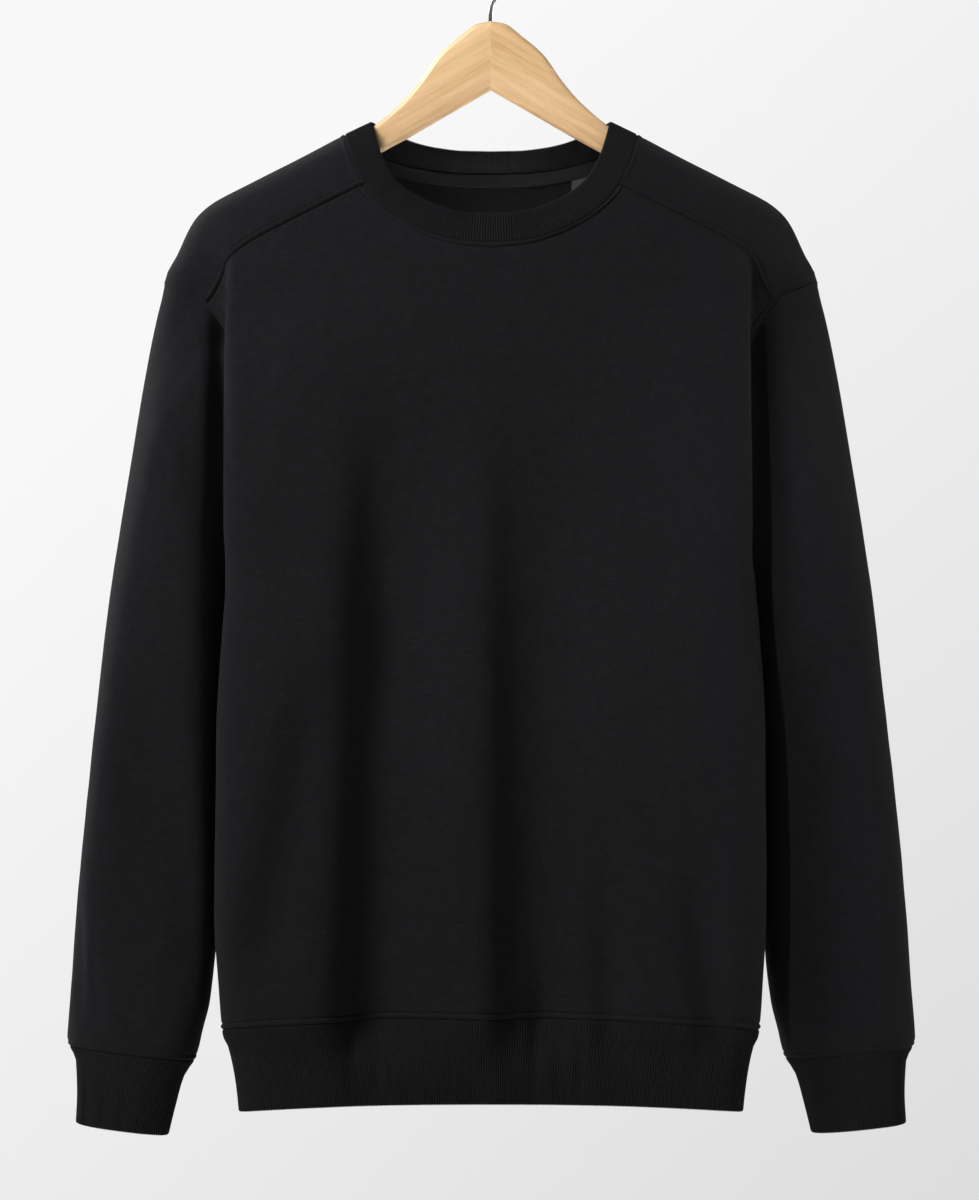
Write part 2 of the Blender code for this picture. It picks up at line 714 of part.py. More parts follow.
def make_sleeve(name, way):
    piece = Piece(name, CLOTH_THICKNESS)
    rings = [dict(zip(SLEEVE_COLUMNS, row)) for row in SLEEVE_SECTIONS]
    seam = armhole_ring(way)
    angles = ring_angles()
    rows = [seam]
    for ring in rings[1:]:
        row = []
        for angle, on_seam in zip(angles, seam):
            pull = (on_seam - sleeve_point(way, rings[0], angle)) * ring["seam_pull"]
            row.append(sleeve_point(way, ring, angle) + pull)
        rows.append(row)
    piece.add_block(rows, closed=True, flip=way == RIGHT)
    return piece


def make_cuff(name, way):
    piece = Piece(name, RIB_THICKNESS)
    rings = [dict(zip(SLEEVE_COLUMNS, row)) for row in CUFF_SECTIONS]
    rows = [[sleeve_point(way, ring, angle) for angle in ring_angles()] for ring in rings]
    piece.add_block(rows, closed=True, flip=way == RIGHT)
    return piece


# ---------------------------------------------------------------- ribs, tape and label


def make_hem_rib():
    piece = Piece("hem_rib", RIB_THICKNESS)
    round_hem = [(FRONT, value) for value in spread(FRONT_COLUMNS)]
    round_hem += [(BACK, value) for value in spread(BACK_COLUMNS)[::-1][1:-1]]
    rows = []
    for part in HEM_RIB_ROWS:
        row = []
        for side, value in round_hem:
            towards_side = abs(value) ** HEM_SEAM_POWER
            rib_height = HEM_RIB_HEIGHT_MIDDLE + (HEM_RIB_HEIGHT_SIDE - HEM_RIB_HEIGHT_MIDDLE) * towards_side
            height = hem_seam_height(side, value) - part * rib_height
            row.append(torso_point(side, value, height))
        rows.append(row)
    piece.add_block(rows, closed=True)
    return piece


def neck_ring():
    """The whole neck seam: the front from left to right, then round the back."""
    front = neck_places(FRONT, front_neck_half(), spread(FRONT_COLUMNS))
    ring = [torso_point(FRONT, *place) for place in front]
    wrap = [row[-1] for row in wrap_rows()]
    ring += [torso_point(FRONT, *place) for place in wrap[-2:0:-1]]
    back = neck_places(BACK, NECK_SEAM_BACK, spread(BACK_COLUMNS)[::-1])
    ring += [torso_point(BACK, *place) for place in back]
    ring += [torso_point(FRONT, -across, height) for across, height in wrap[1:-1]]
    return ring


def front_band_way(along):
    """Direction of the neckband in front: up and inward, more inward beside the shoulders."""
    inward = np.array((-along[1], along[0], 0.0)) / math.hypot(along[0], along[1])
    lean = NECK_RIB_LEAN_FRONT + (NECK_RIB_LEAN_SHOULDER - NECK_RIB_LEAN_FRONT) * inward[0] ** 2
    return inward * math.sin(lean) + np.array((0.0, 0.0, math.cos(lean)))


def back_band_way(place, widest, deepest):
    """Direction of the neckband behind: up, and in towards the neck's centre from all round."""
    across = -math.sin(NECK_RIB_LEAN_SHOULDER) * place[0] / widest
    forward = -math.sin(NECK_RIB_LEAN_BACK) * place[1] / deepest
    return np.array((across, forward, math.sqrt(1 - across**2 - forward**2)))


def make_neck_rib():
    piece = Piece("neck_rib", RIB_THICKNESS)
    seam = neck_ring()
    widest, deepest = np.max(seam, axis=0)[:2]
    directions = []
    for k, place in enumerate(seam):
        if place[1] < 0:
            directions.append(front_band_way(seam[(k + 1) % len(seam)] - seam[k - 1]))
        else:
            directions.append(back_band_way(place, widest, deepest))
    rows = []
    for part in np.linspace(0, 1, NECK_RIB_ROWS + 1):
        rows.append([place + way * NECK_RIB_WIDTH * part for place, way in zip(seam, directions)])
    piece.add_block(rows, closed=True)
    return piece


def inside_back(across, height, depth):
    """A point this far inside the back's outer face."""
    step = 0.001
    here = torso_point(BACK, across, height)
    sideways = torso_point(BACK, across + step, height) - torso_point(BACK, across - step, height)
    upward = torso_point(BACK, across, height + step) - torso_point(BACK, across, height - step)
    facing = np.cross(upward, sideways)
    return here - facing / np.linalg.norm(facing) * depth


def neck_height_at(x):
    seam = np.array(NECK_SEAM_BACK)
    return float(smooth_through(seam[:, 0], seam[:, 1], abs(x)))


def laid_strip(name, thickness, x_values, top, length, row_count, depth):
    """A strip that hangs inside the back from the neck seam, drawn from the back's own points."""
    piece = Piece(name, thickness)
    rows = []
    for part in np.linspace(1, 0, row_count + 1):
        row = []
        for x in x_values:
            height = neck_height_at(x) - top - length * part
            row.append(inside_back(across_at_x(BACK, x, height), height, depth))
        rows.append(row)
    piece.add_block(rows, flip=True)
    return piece


def make_neck_tape():
    x_values = np.linspace(-TAPE_REACH, TAPE_REACH, TAPE_STEPS + 1)
    depth = CLOTH_THICKNESS + LAID_GAP
    return laid_strip("neck_tape", TAPE_THICKNESS, x_values, TAPE_TOP, TAPE_WIDTH, TAPE_ROWS, depth)


def make_size_label():
    half = LABEL_WIDTH / 2
    x_values = np.linspace(LABEL_CENTRE - half, LABEL_CENTRE + half, LABEL_STEPS + 1)
    depth = CLOTH_THICKNESS + LAID_GAP
    return laid_strip("size_label", LABEL_THICKNESS, x_values, LABEL_TOP, LABEL_LENGTH, LABEL_ROWS, depth)


# ---------------------------------------------------------------- hanger and hook


def crest_height(x):
    """Height of the hanger's top edge: just under the cloth, and under the neckband beside the neck."""
    neck_x = TORSO_SECTIONS[0][1]
    line_x = [torso_value("half_width", height) for height in SHOULDER_LINE_HEIGHTS[::-1]]
    line = np.interp(x, line_x, SHOULDER_LINE_HEIGHTS[::-1])
    near, far = SHOULDER_LINE_HEIGHTS[-1], SHOULDER_LINE_HEIGHTS[-4]
    slope = math.atan2(near - far, torso_value("half_width", far) - neck_x)
    if x < neck_x:
        line = near + (neck_x - x) * math.tan(math.pi / 2 - NECK_RIB_LEAN_SHOULDER)
    if x < neck_x + RIB_THICKNESS:
        return line - (RIB_THICKNESS + NECKBAND_CLEARANCE) / math.cos(slope)
    return line - (CLOTH_THICKNESS + CREST_CLEARANCE) / math.cos(slope)


def hanger_outline():
    """The right half's outline seen from the front, from the joint's foot round to the joint's head."""
    outline = [(JOINT_GAP / 2, HANGER_VEE[0][1]), HANGER_VEE[1]]
    for x in (HANGER_ARM_START, HANGER_END - HANGER_END_RADIUS):
        outline.append((x, crest_height(x) - HANGER_ARM_HEIGHT))
    end_x = HANGER_END - HANGER_END_RADIUS
    low = crest_height(end_x) - HANGER_ARM_HEIGHT
    high = crest_height(end_x)
    middle = (low + high) / 2
    for angle in np.linspace(-math.pi / 2, math.pi / 2, HANGER_END_POINTS)[1:-1]:
        reach = HANGER_END_RADIUS * math.cos(angle)
        outline.append((end_x + reach, middle + (high - low) / 2 * math.sin(angle) - reach / 4))
    neck_x = TORSO_SECTIONS[0][1]
    for x in (end_x, neck_x + 2 * RIB_THICKNESS, neck_x, HANGER_ARM_START):
        outline.append((x, crest_height(x)))
    top = np.array(HANGER_TOP)
    for x in np.linspace(top[-1, 0], JOINT_GAP / 2, HANGER_TOP_POINTS):
        outline.append((x, float(smooth_through(top[:, 0], top[:, 1], x))))
    return outline


def inset_outline(outline, distance):
    """The half outline moved in by a distance, its two ends kept in the joint's plane."""
    corners = np.array(outline)
    runs = np.diff(corners, axis=0)
    runs /= np.linalg.norm(runs, axis=1)[:, None]
    inward = np.column_stack((-runs[:, 1], runs[:, 0]))
    moved = corners.copy()
    moved[0, 1] += distance / inward[0, 1]
    moved[-1, 1] += distance / inward[-1, 1]
    for k in range(1, len(corners) - 1):
        between = inward[k - 1] + inward[k]
        moved[k] += between * distance / (1 + inward[k - 1].dot(inward[k]))
    return moved


def make_hanger_half(name, way, bore):
    """Half of the hanger: its outline on several levels through the thickness, the long edges rounded."""
    half = HANGER_THICKNESS / 2
    levels = []
    for turn in np.linspace(0, math.pi / 2, HANGER_EDGE_SEGMENTS + 1):
        inset = HANGER_EDGE_ROUNDING * (1 - math.sin(turn))
        levels.append((inset, half - HANGER_EDGE_ROUNDING * (1 - math.cos(turn))))
    levels = [(inset, -y) for inset, y in levels] + [(inset, y) for inset, y in levels[::-1]]
    shape = bmesh.new()
    loops = []
    for inset, y in levels:
        corners = inset_outline(hanger_outline(), inset)
        loops.append([shape.verts.new((way * x, y, height)) for x, height in corners])
    for near, far in zip(loops, loops[1:]):
        for k in range(len(near)):
            n = (k + 1) % len(near)
            shape.faces.new((near[k], near[n], far[n], far[k]))
    shape.faces.new(loops[0])
    shape.faces.new(loops[-1])
    bmesh.ops.recalc_face_normals(shape, faces=shape.faces)
    mesh = bpy.data.meshes.new(name)
    shape.to_mesh(mesh)
    shape.free()
    wood = place_object(name, mesh)
    cut = wood.modifiers.new("stem_bore", "BOOLEAN")
    cut.operation = "DIFFERENCE"
    cut.solver = "EXACT"
    cut.object = bore
    return wood


def make_bore():
    """Guide that cuts the hole for the hook's stem, half into each side of the hanger."""
    head = HANGER_TOP[0][1]
    shape = bmesh.new()
    bmesh.ops.create_cone(
        shape,
        cap_ends=True,
        segments=BORE_SIDES,
        radius1=WIRE_RADIUS + STEM_CLEARANCE,
        radius2=WIRE_RADIUS + STEM_CLEARANCE,
        depth=2 * (STEM_DEPTH + STEM_CLEARANCE),
    )
    bmesh.ops.translate(shape, verts=shape.verts, vec=(0, 0, head))
    mesh = bpy.data.meshes.new("stem_bore_guide")
    shape.to_mesh(mesh)
    shape.free()
    guide = place_object("stem_bore_guide", mesh)
    guide.hide_render = True
    guide.display_type = "WIRE"
    return guide


def hook_path():
    """Centre line of the wire in the hook's own frame, from the tip round to the end of the stem."""
    radius = HOOK_INNER_RADIUS + WIRE_RADIUS
    centre = -HOOK_INNER_RADIUS
    path = []
    for angle in np.linspace(HOOK_TIP_ANGLE, HOOK_TURN_ANGLE, HOOK_ARC_POINTS):
        path.append((radius * math.cos(angle), centre + radius * math.sin(angle)))
    start = np.array(path[-1])
    heading = np.array((math.sin(HOOK_TURN_ANGLE), -math.cos(HOOK_TURN_ANGLE)))
    end = np.array((0.0, -HOOK_NECK_HEIGHT - HOOK_INNER_RADIUS / 2))
    reach = HOOK_NECK_EASE * np.linalg.norm(end - start)
    handles = (start, start + heading * reach, end + np.array((0.0, reach)), end)
    for part in np.linspace(0, 1, HOOK_NECK_POINTS)[1:]:
        rest = 1 - part
        weights = (rest**3, 3 * rest**2 * part, 3 * rest * part**2, part**3)
        path.append(tuple(sum(weight * handle for weight, handle in zip(weights, handles))))
    foot = HANGER_TOP[0][1] - HOOK_TO_SHOULDER - STEM_DEPTH
    path.append((0.0, foot))
    return path


def make_hook():
    wire = bpy.data.curves.new("hook", "CURVE")
    wire.dimensions = "3D"
    wire.bevel_depth = WIRE_RADIUS
    wire.bevel_resolution = 2
    wire.use_fill_caps = True
    line = wire.splines.new("POLY")
    path = hook_path()
    line.points.add(len(path) - 1)
    for point, (x, height) in zip(line.points, path):
        point.co = (x, 0.0, height, 1.0)
    hook = bpy.data.objects.new("hook", wire)
    bpy.context.collection.objects.link(hook)
    return hook


# ---------------------------------------------------------------- objects and materials


def make_material(name, colour, roughness, metallic=0.0):
    material = bpy.data.materials.new(name)
    material.use_nodes = True
    surface = material.node_tree.nodes["Principled BSDF"]
    surface.inputs["Base Color"].default_value = (*colour, 1.0)
    surface.inputs["Roughness"].default_value = roughness
    surface.inputs["Metallic"].default_value = metallic
    return material


def place_object(name, mesh):
    placed = bpy.data.objects.new(name, mesh)
    bpy.context.collection.objects.link(placed)
    return placed


def finish(placed, material, parent=None):
    placed.data.materials.append(material)
    if placed.type == "MESH":
        placed.data.shade_smooth()
        placed.data.set_sharp_from_angle(angle=math.radians(50))
    placed.parent = parent


def main():
    for old in list(bpy.data.objects):
        bpy.data.objects.remove(old, do_unlink=True)

    garment = bpy.data.objects.new("garment", None)
    bpy.context.collection.objects.link(garment)
    garment.location = (0, 0, -HOOK_TO_SHOULDER)

    cloth = make_material("cloth", CLOTH_COLOUR, 0.9)
    rib = make_material("rib", RIB_COLOUR, 0.9)
    tape = make_material("tape", TAPE_COLOUR, 0.85)
    label = make_material("label", LABEL_COLOUR, 0.6)
    wood = make_material("wood", WOOD_COLOUR, 0.45)
    steel = make_material("steel", STEEL_COLOUR, 0.25, metallic=1.0)

    pieces = (
        (make_front(), cloth),
        (make_back(), cloth),
        (make_sleeve("sleeve_left", LEFT), cloth),
        (make_sleeve("sleeve_right", RIGHT), cloth),
        (make_cuff("cuff_left", LEFT), rib),
        (make_cuff("cuff_right", RIGHT), rib),
        (make_hem_rib(), rib),
        (make_neck_rib(), rib),
    )
    shared = seam_normals([piece for piece, _ in pieces])
    for piece, material in pieces:
        finish(place_object(piece.name, wall_mesh(piece, shared)), material, garment)
    for piece, material in ((make_neck_tape(), tape), (make_size_label(), label)):
        finish(place_object(piece.name, wall_mesh(piece, {})), material, garment)

    bore = make_bore()
    bore.parent = garment
    for name, way in (("hanger_left", LEFT), ("hanger_right", RIGHT)):
        finish(make_hanger_half(name, way, bore), wood, garment)
    finish(make_hook(), steel)


main()
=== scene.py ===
"""Looks of the crewneck sweatshirt on its wooden hanger.

Each piece is drawn again over its solid, from sections and seams close to the solid's own, with what the
solids leave out: finer folds, rolled seams, topstitching, rib knit and wood grain.
Metres, +Z up, the front faces -Y. The cloth is drawn in the garment's frame, whose height 0 is the shoulder
line beside the neck. Left and right are as seen from the front.
"""

import math

import bpy
import numpy as np
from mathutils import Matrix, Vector, kdtree, noise


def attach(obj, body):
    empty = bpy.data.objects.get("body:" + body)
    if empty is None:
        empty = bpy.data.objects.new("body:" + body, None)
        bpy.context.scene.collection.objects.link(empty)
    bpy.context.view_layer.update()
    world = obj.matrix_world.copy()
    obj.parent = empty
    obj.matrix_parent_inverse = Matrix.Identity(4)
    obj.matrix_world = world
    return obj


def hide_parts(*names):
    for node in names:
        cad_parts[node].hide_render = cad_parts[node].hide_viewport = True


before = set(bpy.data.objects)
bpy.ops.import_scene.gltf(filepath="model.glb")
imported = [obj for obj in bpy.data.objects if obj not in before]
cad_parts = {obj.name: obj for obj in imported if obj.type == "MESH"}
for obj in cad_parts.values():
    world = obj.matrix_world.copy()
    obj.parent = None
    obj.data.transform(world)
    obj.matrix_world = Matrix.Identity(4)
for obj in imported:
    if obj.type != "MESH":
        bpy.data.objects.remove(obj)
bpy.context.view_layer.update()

HOOK_TO_SHOULDER = 0.146

CLOTH_THICKNESS = 0.0020
RIB_THICKNESS = 0.0026
TAPE_THICKNESS = 0.0010
LABEL_THICKNESS = 0.0006
SEAM_GAP = 0.00004
LAID_GAP = 0.0005
THINNEST_MITRE = 0.7

FRONT = -1
BACK = 1
LEFT = -1
RIGHT = 1

# ---------------------------------------------------------------- the garment's sections, seams and folds

TORSO_COLUMNS = ("height", "half_width", "front", "back", "squareness")
TORSO_SECTIONS = (
    (0.0005, 0.1080, 0.0310, 0.0300, 2.00),
    (-0.0170, 0.1410, 0.0380, 0.0380, 2.00),
    (-0.0350, 0.1765, 0.0425, 0.0440, 2.00),
    (-0.0525, 0.2087, 0.0485, 0.0510, 2.00),
    (-0.0640, 0.2200, 0.0535, 0.0560, 2.00),
    (-0.0880, 0.2318, 0.0625, 0.0640, 2.05),
    (-0.1080, 0.2410, 0.0680, 0.0700, 2.15),
    (-0.1240, 0.2270, 0.0715, 0.0735, 2.35),
    (-0.1570, 0.2010, 0.0770, 0.0785, 3.10),
    (-0.2000, 0.1945, 0.0810, 0.0820, 3.80),
    (-0.2600, 0.1925, 0.0835, 0.0840, 4.20),
    (-0.3300, 0.1930, 0.0840, 0.0840, 4.00),
    (-0.3610, 0.1955, 0.0830, 0.0830, 3.80),
    (-0.4400, 0.2005, 0.0790, 0.0790, 3.40),
    (-0.5660, 0.2015, 0.0690, 0.0700, 3.10),
    (-0.6400, 0.1988, 0.0610, 0.0620, 2.90),
    (-0.6630, 0.1965, 0.0580, 0.0590, 2.80),
    (-0.6720, 0.1925, 0.0560, 0.0570, 2.80),
    (-0.7000, 0.1870, 0.0550, 0.0560, 2.80),
    (-0.7240, 0.1845, 0.0540, 0.0550, 2.80),
)
SECTION_STEPS = 121
# The front hangs a little flatter than its solid below the shoulders.
FRONT_FLATTER = 3.8
FLATTER_TOP = -0.110
FLATTER_FADE = 0.140
SLOPE_STEP = 0.002
INSIDE_SLOPE_STEP = 0.001

# How many points lines are read at before they are spaced evenly.
OUTLINE_STEPS = 400
NECK_SEAM_STEPS = 201
NECK_RING_STEPS = 241
NECK_WRAP_STEPS = 41
CUFF_TURN_STEPS = 721
HEM_STEPS = 801

HEM_SEAM_SIDE = -0.6630
HEM_SEAM_FRONT = -0.6490
HEM_SEAM_BACK = -0.6540
HEM_SEAM_POWER = 2.6
# The rows above the hem follow its curve, and lose it at this power of the way up the side seam.
HEM_CURVE_FADE_POWER = 4
HEM_RIB_HEIGHT_SIDE = 0.0590
HEM_RIB_HEIGHT_MIDDLE = 0.0620

ARMHOLE_TOP = -0.1080
ARMHOLE_BOTTOM = -0.3300
ARMHOLE_FRONT_REACH = 0.0463
ARMHOLE_BACK_REACH = 0.0500
ARMHOLE_FULLNESS = 0.80
ARMHOLE_FRONT_TOP_HEAVINESS = 0.20
ROW_BEND_POWER = 3
FRONT_ARMHOLE_CENTRE_TOP = -0.1400
BACK_ARMHOLE_CENTRE_TOP = -0.1180
ARMHOLE_MIDDLE = (ARMHOLE_TOP + ARMHOLE_BOTTOM) / 2
ARMHOLE_HALF = (ARMHOLE_TOP - ARMHOLE_BOTTOM) / 2

# Half of each neck seam as seen from the front, from the shoulder line to the centre: x and height.
NECK_SEAM_FRONT = (
    (0.1080, 0.0005),
    (0.1035, -0.0165),
    (0.0970, -0.0325),
    (0.0860, -0.0500),
    (0.0685, -0.0650),
    (0.0445, -0.0770),
    (0.0220, -0.0830),
    (0.0000, -0.0843),
)
NECK_SEAM_BACK = (
    (0.1080, 0.0005),
    (0.0960, -0.0065),
    (0.0820, -0.0120),
    (0.0660, -0.0170),
    (0.0480, -0.0205),
    (0.0250, -0.0229),
    (0.0000, -0.0235),
)
SHOULDER_LINE_HEIGHTS = (-0.1080, -0.0880, -0.0700, -0.0585, -0.0525, -0.0380, -0.0190, 0.0005)
FORWARD_SEAM = (
    (0.2108, -0.1262),
    (0.2030, -0.1125),
    (0.1930, -0.0960),
    (0.1790, -0.0840),
    (0.1500, -0.0685),
    (0.0955, -0.0410),
)

SLEEVE_COLUMNS = (
    "outer_x", "outer_height", "inner_x", "inner_height", "half_depth", "centre_y", "squareness", "seam_pull",
)
SLEEVE_SECTIONS = (
    (0.2410, -0.1080, 0.1930, -0.3300, 0.0460, 0.0020, 2.2, 1.00),
    (0.2435, -0.1200, 0.1940, -0.3325, 0.0470, 0.0030, 2.3, 0.80),
    (0.2475, -0.1360, 0.1948, -0.3360, 0.0500, 0.0040, 2.4, 0.56),
    (0.2525, -0.1590, 0.1952, -0.3420, 0.0550, 0.0060, 2.5, 0.30),
    (0.2585, -0.1920, 0.1957, -0.3510, 0.0610, 0.0085, 2.6, 0.10),
    (0.2655, -0.2360, 0.1966, -0.3630, 0.0650, 0.0120, 2.7, 0.00),
    (0.2732, -0.2860, 0.1977, -0.3790, 0.0665, 0.0160, 3.1, 0.00),
    (0.2815, -0.3420, 0.1990, -0.4020, 0.0650, 0.0200, 3.6, 0.00),
    (0.2892, -0.4070, 0.2003, -0.4420, 0.0600, 0.0240, 4.0, 0.00),
    (0.2971, -0.4720, 0.2008, -0.4920, 0.0530, 0.0260, 4.2, 0.00),
    (0.3035, -0.5320, 0.2010, -0.5430, 0.0460, 0.0250, 4.2, 0.00),
    (0.3086, -0.5880, 0.2028, -0.5940, 0.0390, 0.0230, 3.8, 0.00),
    (0.3123, -0.6380, 0.2072, -0.6420, 0.0320, 0.0200, 3.0, 0.00),
    (0.3145, -0.6610, 0.2130, -0.6660, 0.0290, 0.0190, 2.4, 0.00),
    (0.3150, -0.6700, 0.2158, -0.6780, 0.0268, 0.0185, 2.3, 0.00),
    (0.3130, -0.6765, 0.2184, -0.6850, 0.0240, 0.0180, 2.2, 0.00),
)
CUFF_SECTIONS = (
    (0.3130, -0.6765, 0.2184, -0.6850, 0.0240, 0.0180, 2.2, 0.00),
    (0.3080, -0.6870, 0.2262, -0.6970, 0.0232, 0.0180, 2.2, 0.00),
    (0.3070, -0.7105, 0.2322, -0.7180, 0.0222, 0.0180, 2.2, 0.00),
    (0.3080, -0.7335, 0.2378, -0.7408, 0.0215, 0.0180, 2.2, 0.00),
)
# The left sleeve's front is turned a little outwards: how far back its outer side lies for each metre across.
LEFT_SLEEVE_TURN = 0.22
TURN_START = -0.120
TURN_END = -0.300
# Towards the elbow both sleeves hang further out than their sections say, and the right one further back.
SLEEVE_OUT_SHIFT = 0.0014
RIGHT_SLEEVE_BACK_SHIFT = 0.0060
SHIFT_START = -0.200
SHIFT_END = -0.450

NECK_RIB_WIDTH = 0.0220
NECK_RIB_LEAN_FRONT = math.radians(14)
NECK_RIB_LEAN_BACK = math.radians(48)
NECK_RIB_LEAN_SHOULDER = math.radians(62.6)
NECK_RIB_RISE_SHOULDER = 0.25
NECK_RIB_RISE_REACH = 0.025
NECK_RIB_LEAN_POWER = 1.5
NECK_RIB_SMOOTHING = 30
NECK_RIB_SLOPE_REACH = 3

TAPE_WIDTH = 0.0095
TAPE_TOP = 0.0007
TAPE_REACH = 0.082
LABEL_CENTRE = 0.0672
LABEL_WIDTH = 0.0130
LABEL_TOP = TAPE_TOP + TAPE_WIDTH + 0.0003
LABEL_LENGTH = 0.0200
# How much of a strip's thickness its long edges are rounded off by.
STRIP_ROUNDING_SHARE = 0.4

# Folds hang as steps: the cloth falls back at x over the step's width, and comes forward again slowly over
# the return's. A negative width falls back towards the left.
STEP_COLUMNS = ("side", "x_top", "x_bottom", "top", "bottom", "step", "return", "depth", "fade", "fade_low")
TORSO_STEPS = (
    (FRONT, -0.0895, -0.1085, -0.150, -0.690, 0.0110, 0.055, 0.0125, 0.220, 0.045),
    (FRONT, -0.0910, -0.1110, -0.150, -0.690, 0.0260, 0.070, 0.0130, 0.220, 0.045),
    (FRONT, 0.0065, 0.0065, -0.160, -0.690, 0.0110, 0.055, 0.0125, 0.240, 0.045),
    (FRONT, 0.0260, 0.0260, -0.170, -0.690, 0.0220, 0.050, 0.0090, 0.240, 0.050),
    (FRONT, 0.1330, 0.1530, -0.500, -0.690, 0.0075, 0.030, 0.0042, 0.100, 0.040),
    (FRONT, 0.1500, 0.1680, -0.590, -0.690, 0.0060, 0.020, 0.0018, 0.050, 0.040),
    (FRONT, 0.0745, 0.0790, -0.480, -0.690, 0.0080, 0.025, 0.0042, 0.130, 0.035),
    (FRONT, 0.0290, 0.0300, -0.590, -0.690, 0.0055, 0.022, 0.0032, 0.050, 0.035),
    (FRONT, 0.1900, 0.1905, -0.080, -0.335, 0.0030, 0.030, 0.0100, 0.035, 0.050),
    (FRONT, -0.1945, -0.1935, -0.080, -0.335, -0.0030, 0.030, 0.0100, 0.035, 0.050),
    (FRONT, -0.1200, -0.1920, -0.340, -0.650, 0.0160, 0.045, 0.0085, 0.120, 0.080),
    (BACK, -0.0760, -0.0900, -0.170, -0.690, 0.0110, 0.055, 0.0085, 0.260, 0.045),
    (BACK, 0.0560, 0.0740, -0.220, -0.690, -0.0110, 0.055, 0.0080, 0.260, 0.045),
    (BACK, -0.0050, 0.0030, -0.400, -0.690, 0.0090, 0.035, 0.0040, 0.160, 0.045),
    (BACK, 0.1360, 0.1500, -0.400, -0.690, 0.0090, 0.030, 0.0045, 0.140, 0.045),
    (BACK, -0.1420, -0.1540, -0.440, -0.690, -0.0090, 0.030, 0.0040, 0.140, 0.045),
    (BACK, 0.1120, 0.1060, -0.580, -0.690, 0.0060, 0.020, 0.0018, 0.050, 0.040),
    (BACK, -0.0380, -0.0400, -0.600, -0.690, 0.0060, 0.020, 0.0016, 0.050, 0.040),
)
# Small valleys, each with its own width on the left and on the right.
VALLEY_COLUMNS = (
    "side", "x_top", "x_bottom", "top", "bottom", "left_width", "right_width", "depth", "fade", "fade_low",
)
TORSO_VALLEYS = (
    (FRONT, -0.2120, -0.2110, -0.060, -0.125, 0.008, 0.010, 0.0022, 0.025, 0.025),
    (FRONT, -0.1890, -0.1900, -0.095, -0.400, 0.004, 0.009, -0.0016, 0.040, 0.100),
    (FRONT, -0.1655, -0.1660, -0.130, -0.270, 0.012, 0.010, 0.0022, 0.050, 0.050),
    (FRONT, 0.0050, 0.0060, -0.086, -0.125, 0.005, 0.007, 0.0009, 0.006, 0.030),
    (FRONT, -0.0420, -0.0450, -0.600, -0.690, 0.009, 0.009, 0.0010, 0.050, 0.040),
    (FRONT, -0.1020, -0.1030, -0.640, -0.712, 0.005, 0.004, 0.0012, 0.025, 0.020),
    (FRONT, -0.0836, -0.0830, -0.645, -0.712, 0.005, 0.004, 0.0010, 0.025, 0.020),
    (FRONT, 0.0330, 0.0310, -0.640, -0.715, 0.006, 0.005, 0.0012, 0.025, 0.020),
    (FRONT, 0.0510, 0.0500, -0.645, -0.712, 0.005, 0.006, 0.0011, 0.025, 0.020),
    (FRONT, 0.0645, 0.0650, -0.645, -0.712, 0.005, 0.004, 0.0009, 0.025, 0.020),
    (BACK, -0.0980, -0.0960, -0.640, -0.712, 0.005, 0.004, 0.0011, 0.025, 0.020),
    (BACK, 0.0440, 0.0460, -0.640, -0.715, 0.006, 0.005, 0.0012, 0.025, 0.020),
    (BACK, 0.0840, 0.0830, -0.645, -0.712, 0.005, 0.006, 0.0010, 0.025, 0.020),
    (BACK, 0.0040, 0.0020, -0.060, -0.240, 0.016, 0.018, 0.0016, 0.080, 0.080),
)
FOLD_FADE_AT_SIDE = 0.05
CREST_SHARE = 0.35
CREST_REACH = 0.035

# Soft troughs on the sleeves; the angle turns from the outer side (0) over the front (90 degrees).
SLEEVE_FOLD_COLUMNS = ("side", "angle_top", "angle_bottom", "top", "bottom", "width", "depth")
SLEEVE_FOLDS = (
    (LEFT, 84, 122, -0.400, -0.660, 16, 0.0035),
    (LEFT, 30, 42, -0.560, -0.668, 15, 0.0030),
    (LEFT, -88, -112, -0.300, -0.560, 18, 0.0040),
    (LEFT, -60, -50, -0.520, -0.668, 16, 0.0030),
    (RIGHT, 44, 58, -0.120, -0.300, 16, 0.0035),
    (RIGHT, 86, 98, -0.370, -0.500, 18, 0.0030),
    (RIGHT, 70, 84, -0.600, -0.668, 15, 0.0030),
    (RIGHT, -80, -106, -0.260, -0.520, 18, 0.0040),
    (RIGHT, -64, -48, -0.500, -0.668, 16, 0.0030),
    (LEFT, 58, 64, -0.590, -0.672, 8, 0.0014),
    (LEFT, 104, 112, -0.610, -0.672, 8, 0.0012),
    (LEFT, 66, 74, -0.180, -0.330, 12, 0.0016),
    (RIGHT, 112, 118, -0.600, -0.672, 9, 0.0014),
    (RIGHT, 46, 40, -0.610, -0.672, 9, 0.0012),
    (LEFT, -84, -92, -0.600, -0.672, 9, 0.0013),
    (RIGHT, -96, -90, -0.600, -0.672, 9, 0.0013),
)

# The deep crease down each sleeve's front beside the body: how far it lies from the garment's middle, at its
# top and at its bottom.
CREASE_AT = {LEFT: (0.1950, 0.1930), RIGHT: (0.1905, 0.1965)}
CREASE_TOP = -0.115
CREASE_BOTTOM = -0.460
CREASE_FADE = 0.040
CREASE_FADE_LOW = 0.180
CREASE_WIDTH = 0.0105
CREASE_DEPTH = 0.0170
CREASE_FROM_SEAM = 0.0035
CREASE_FRONT_SHARPNESS = 2.5

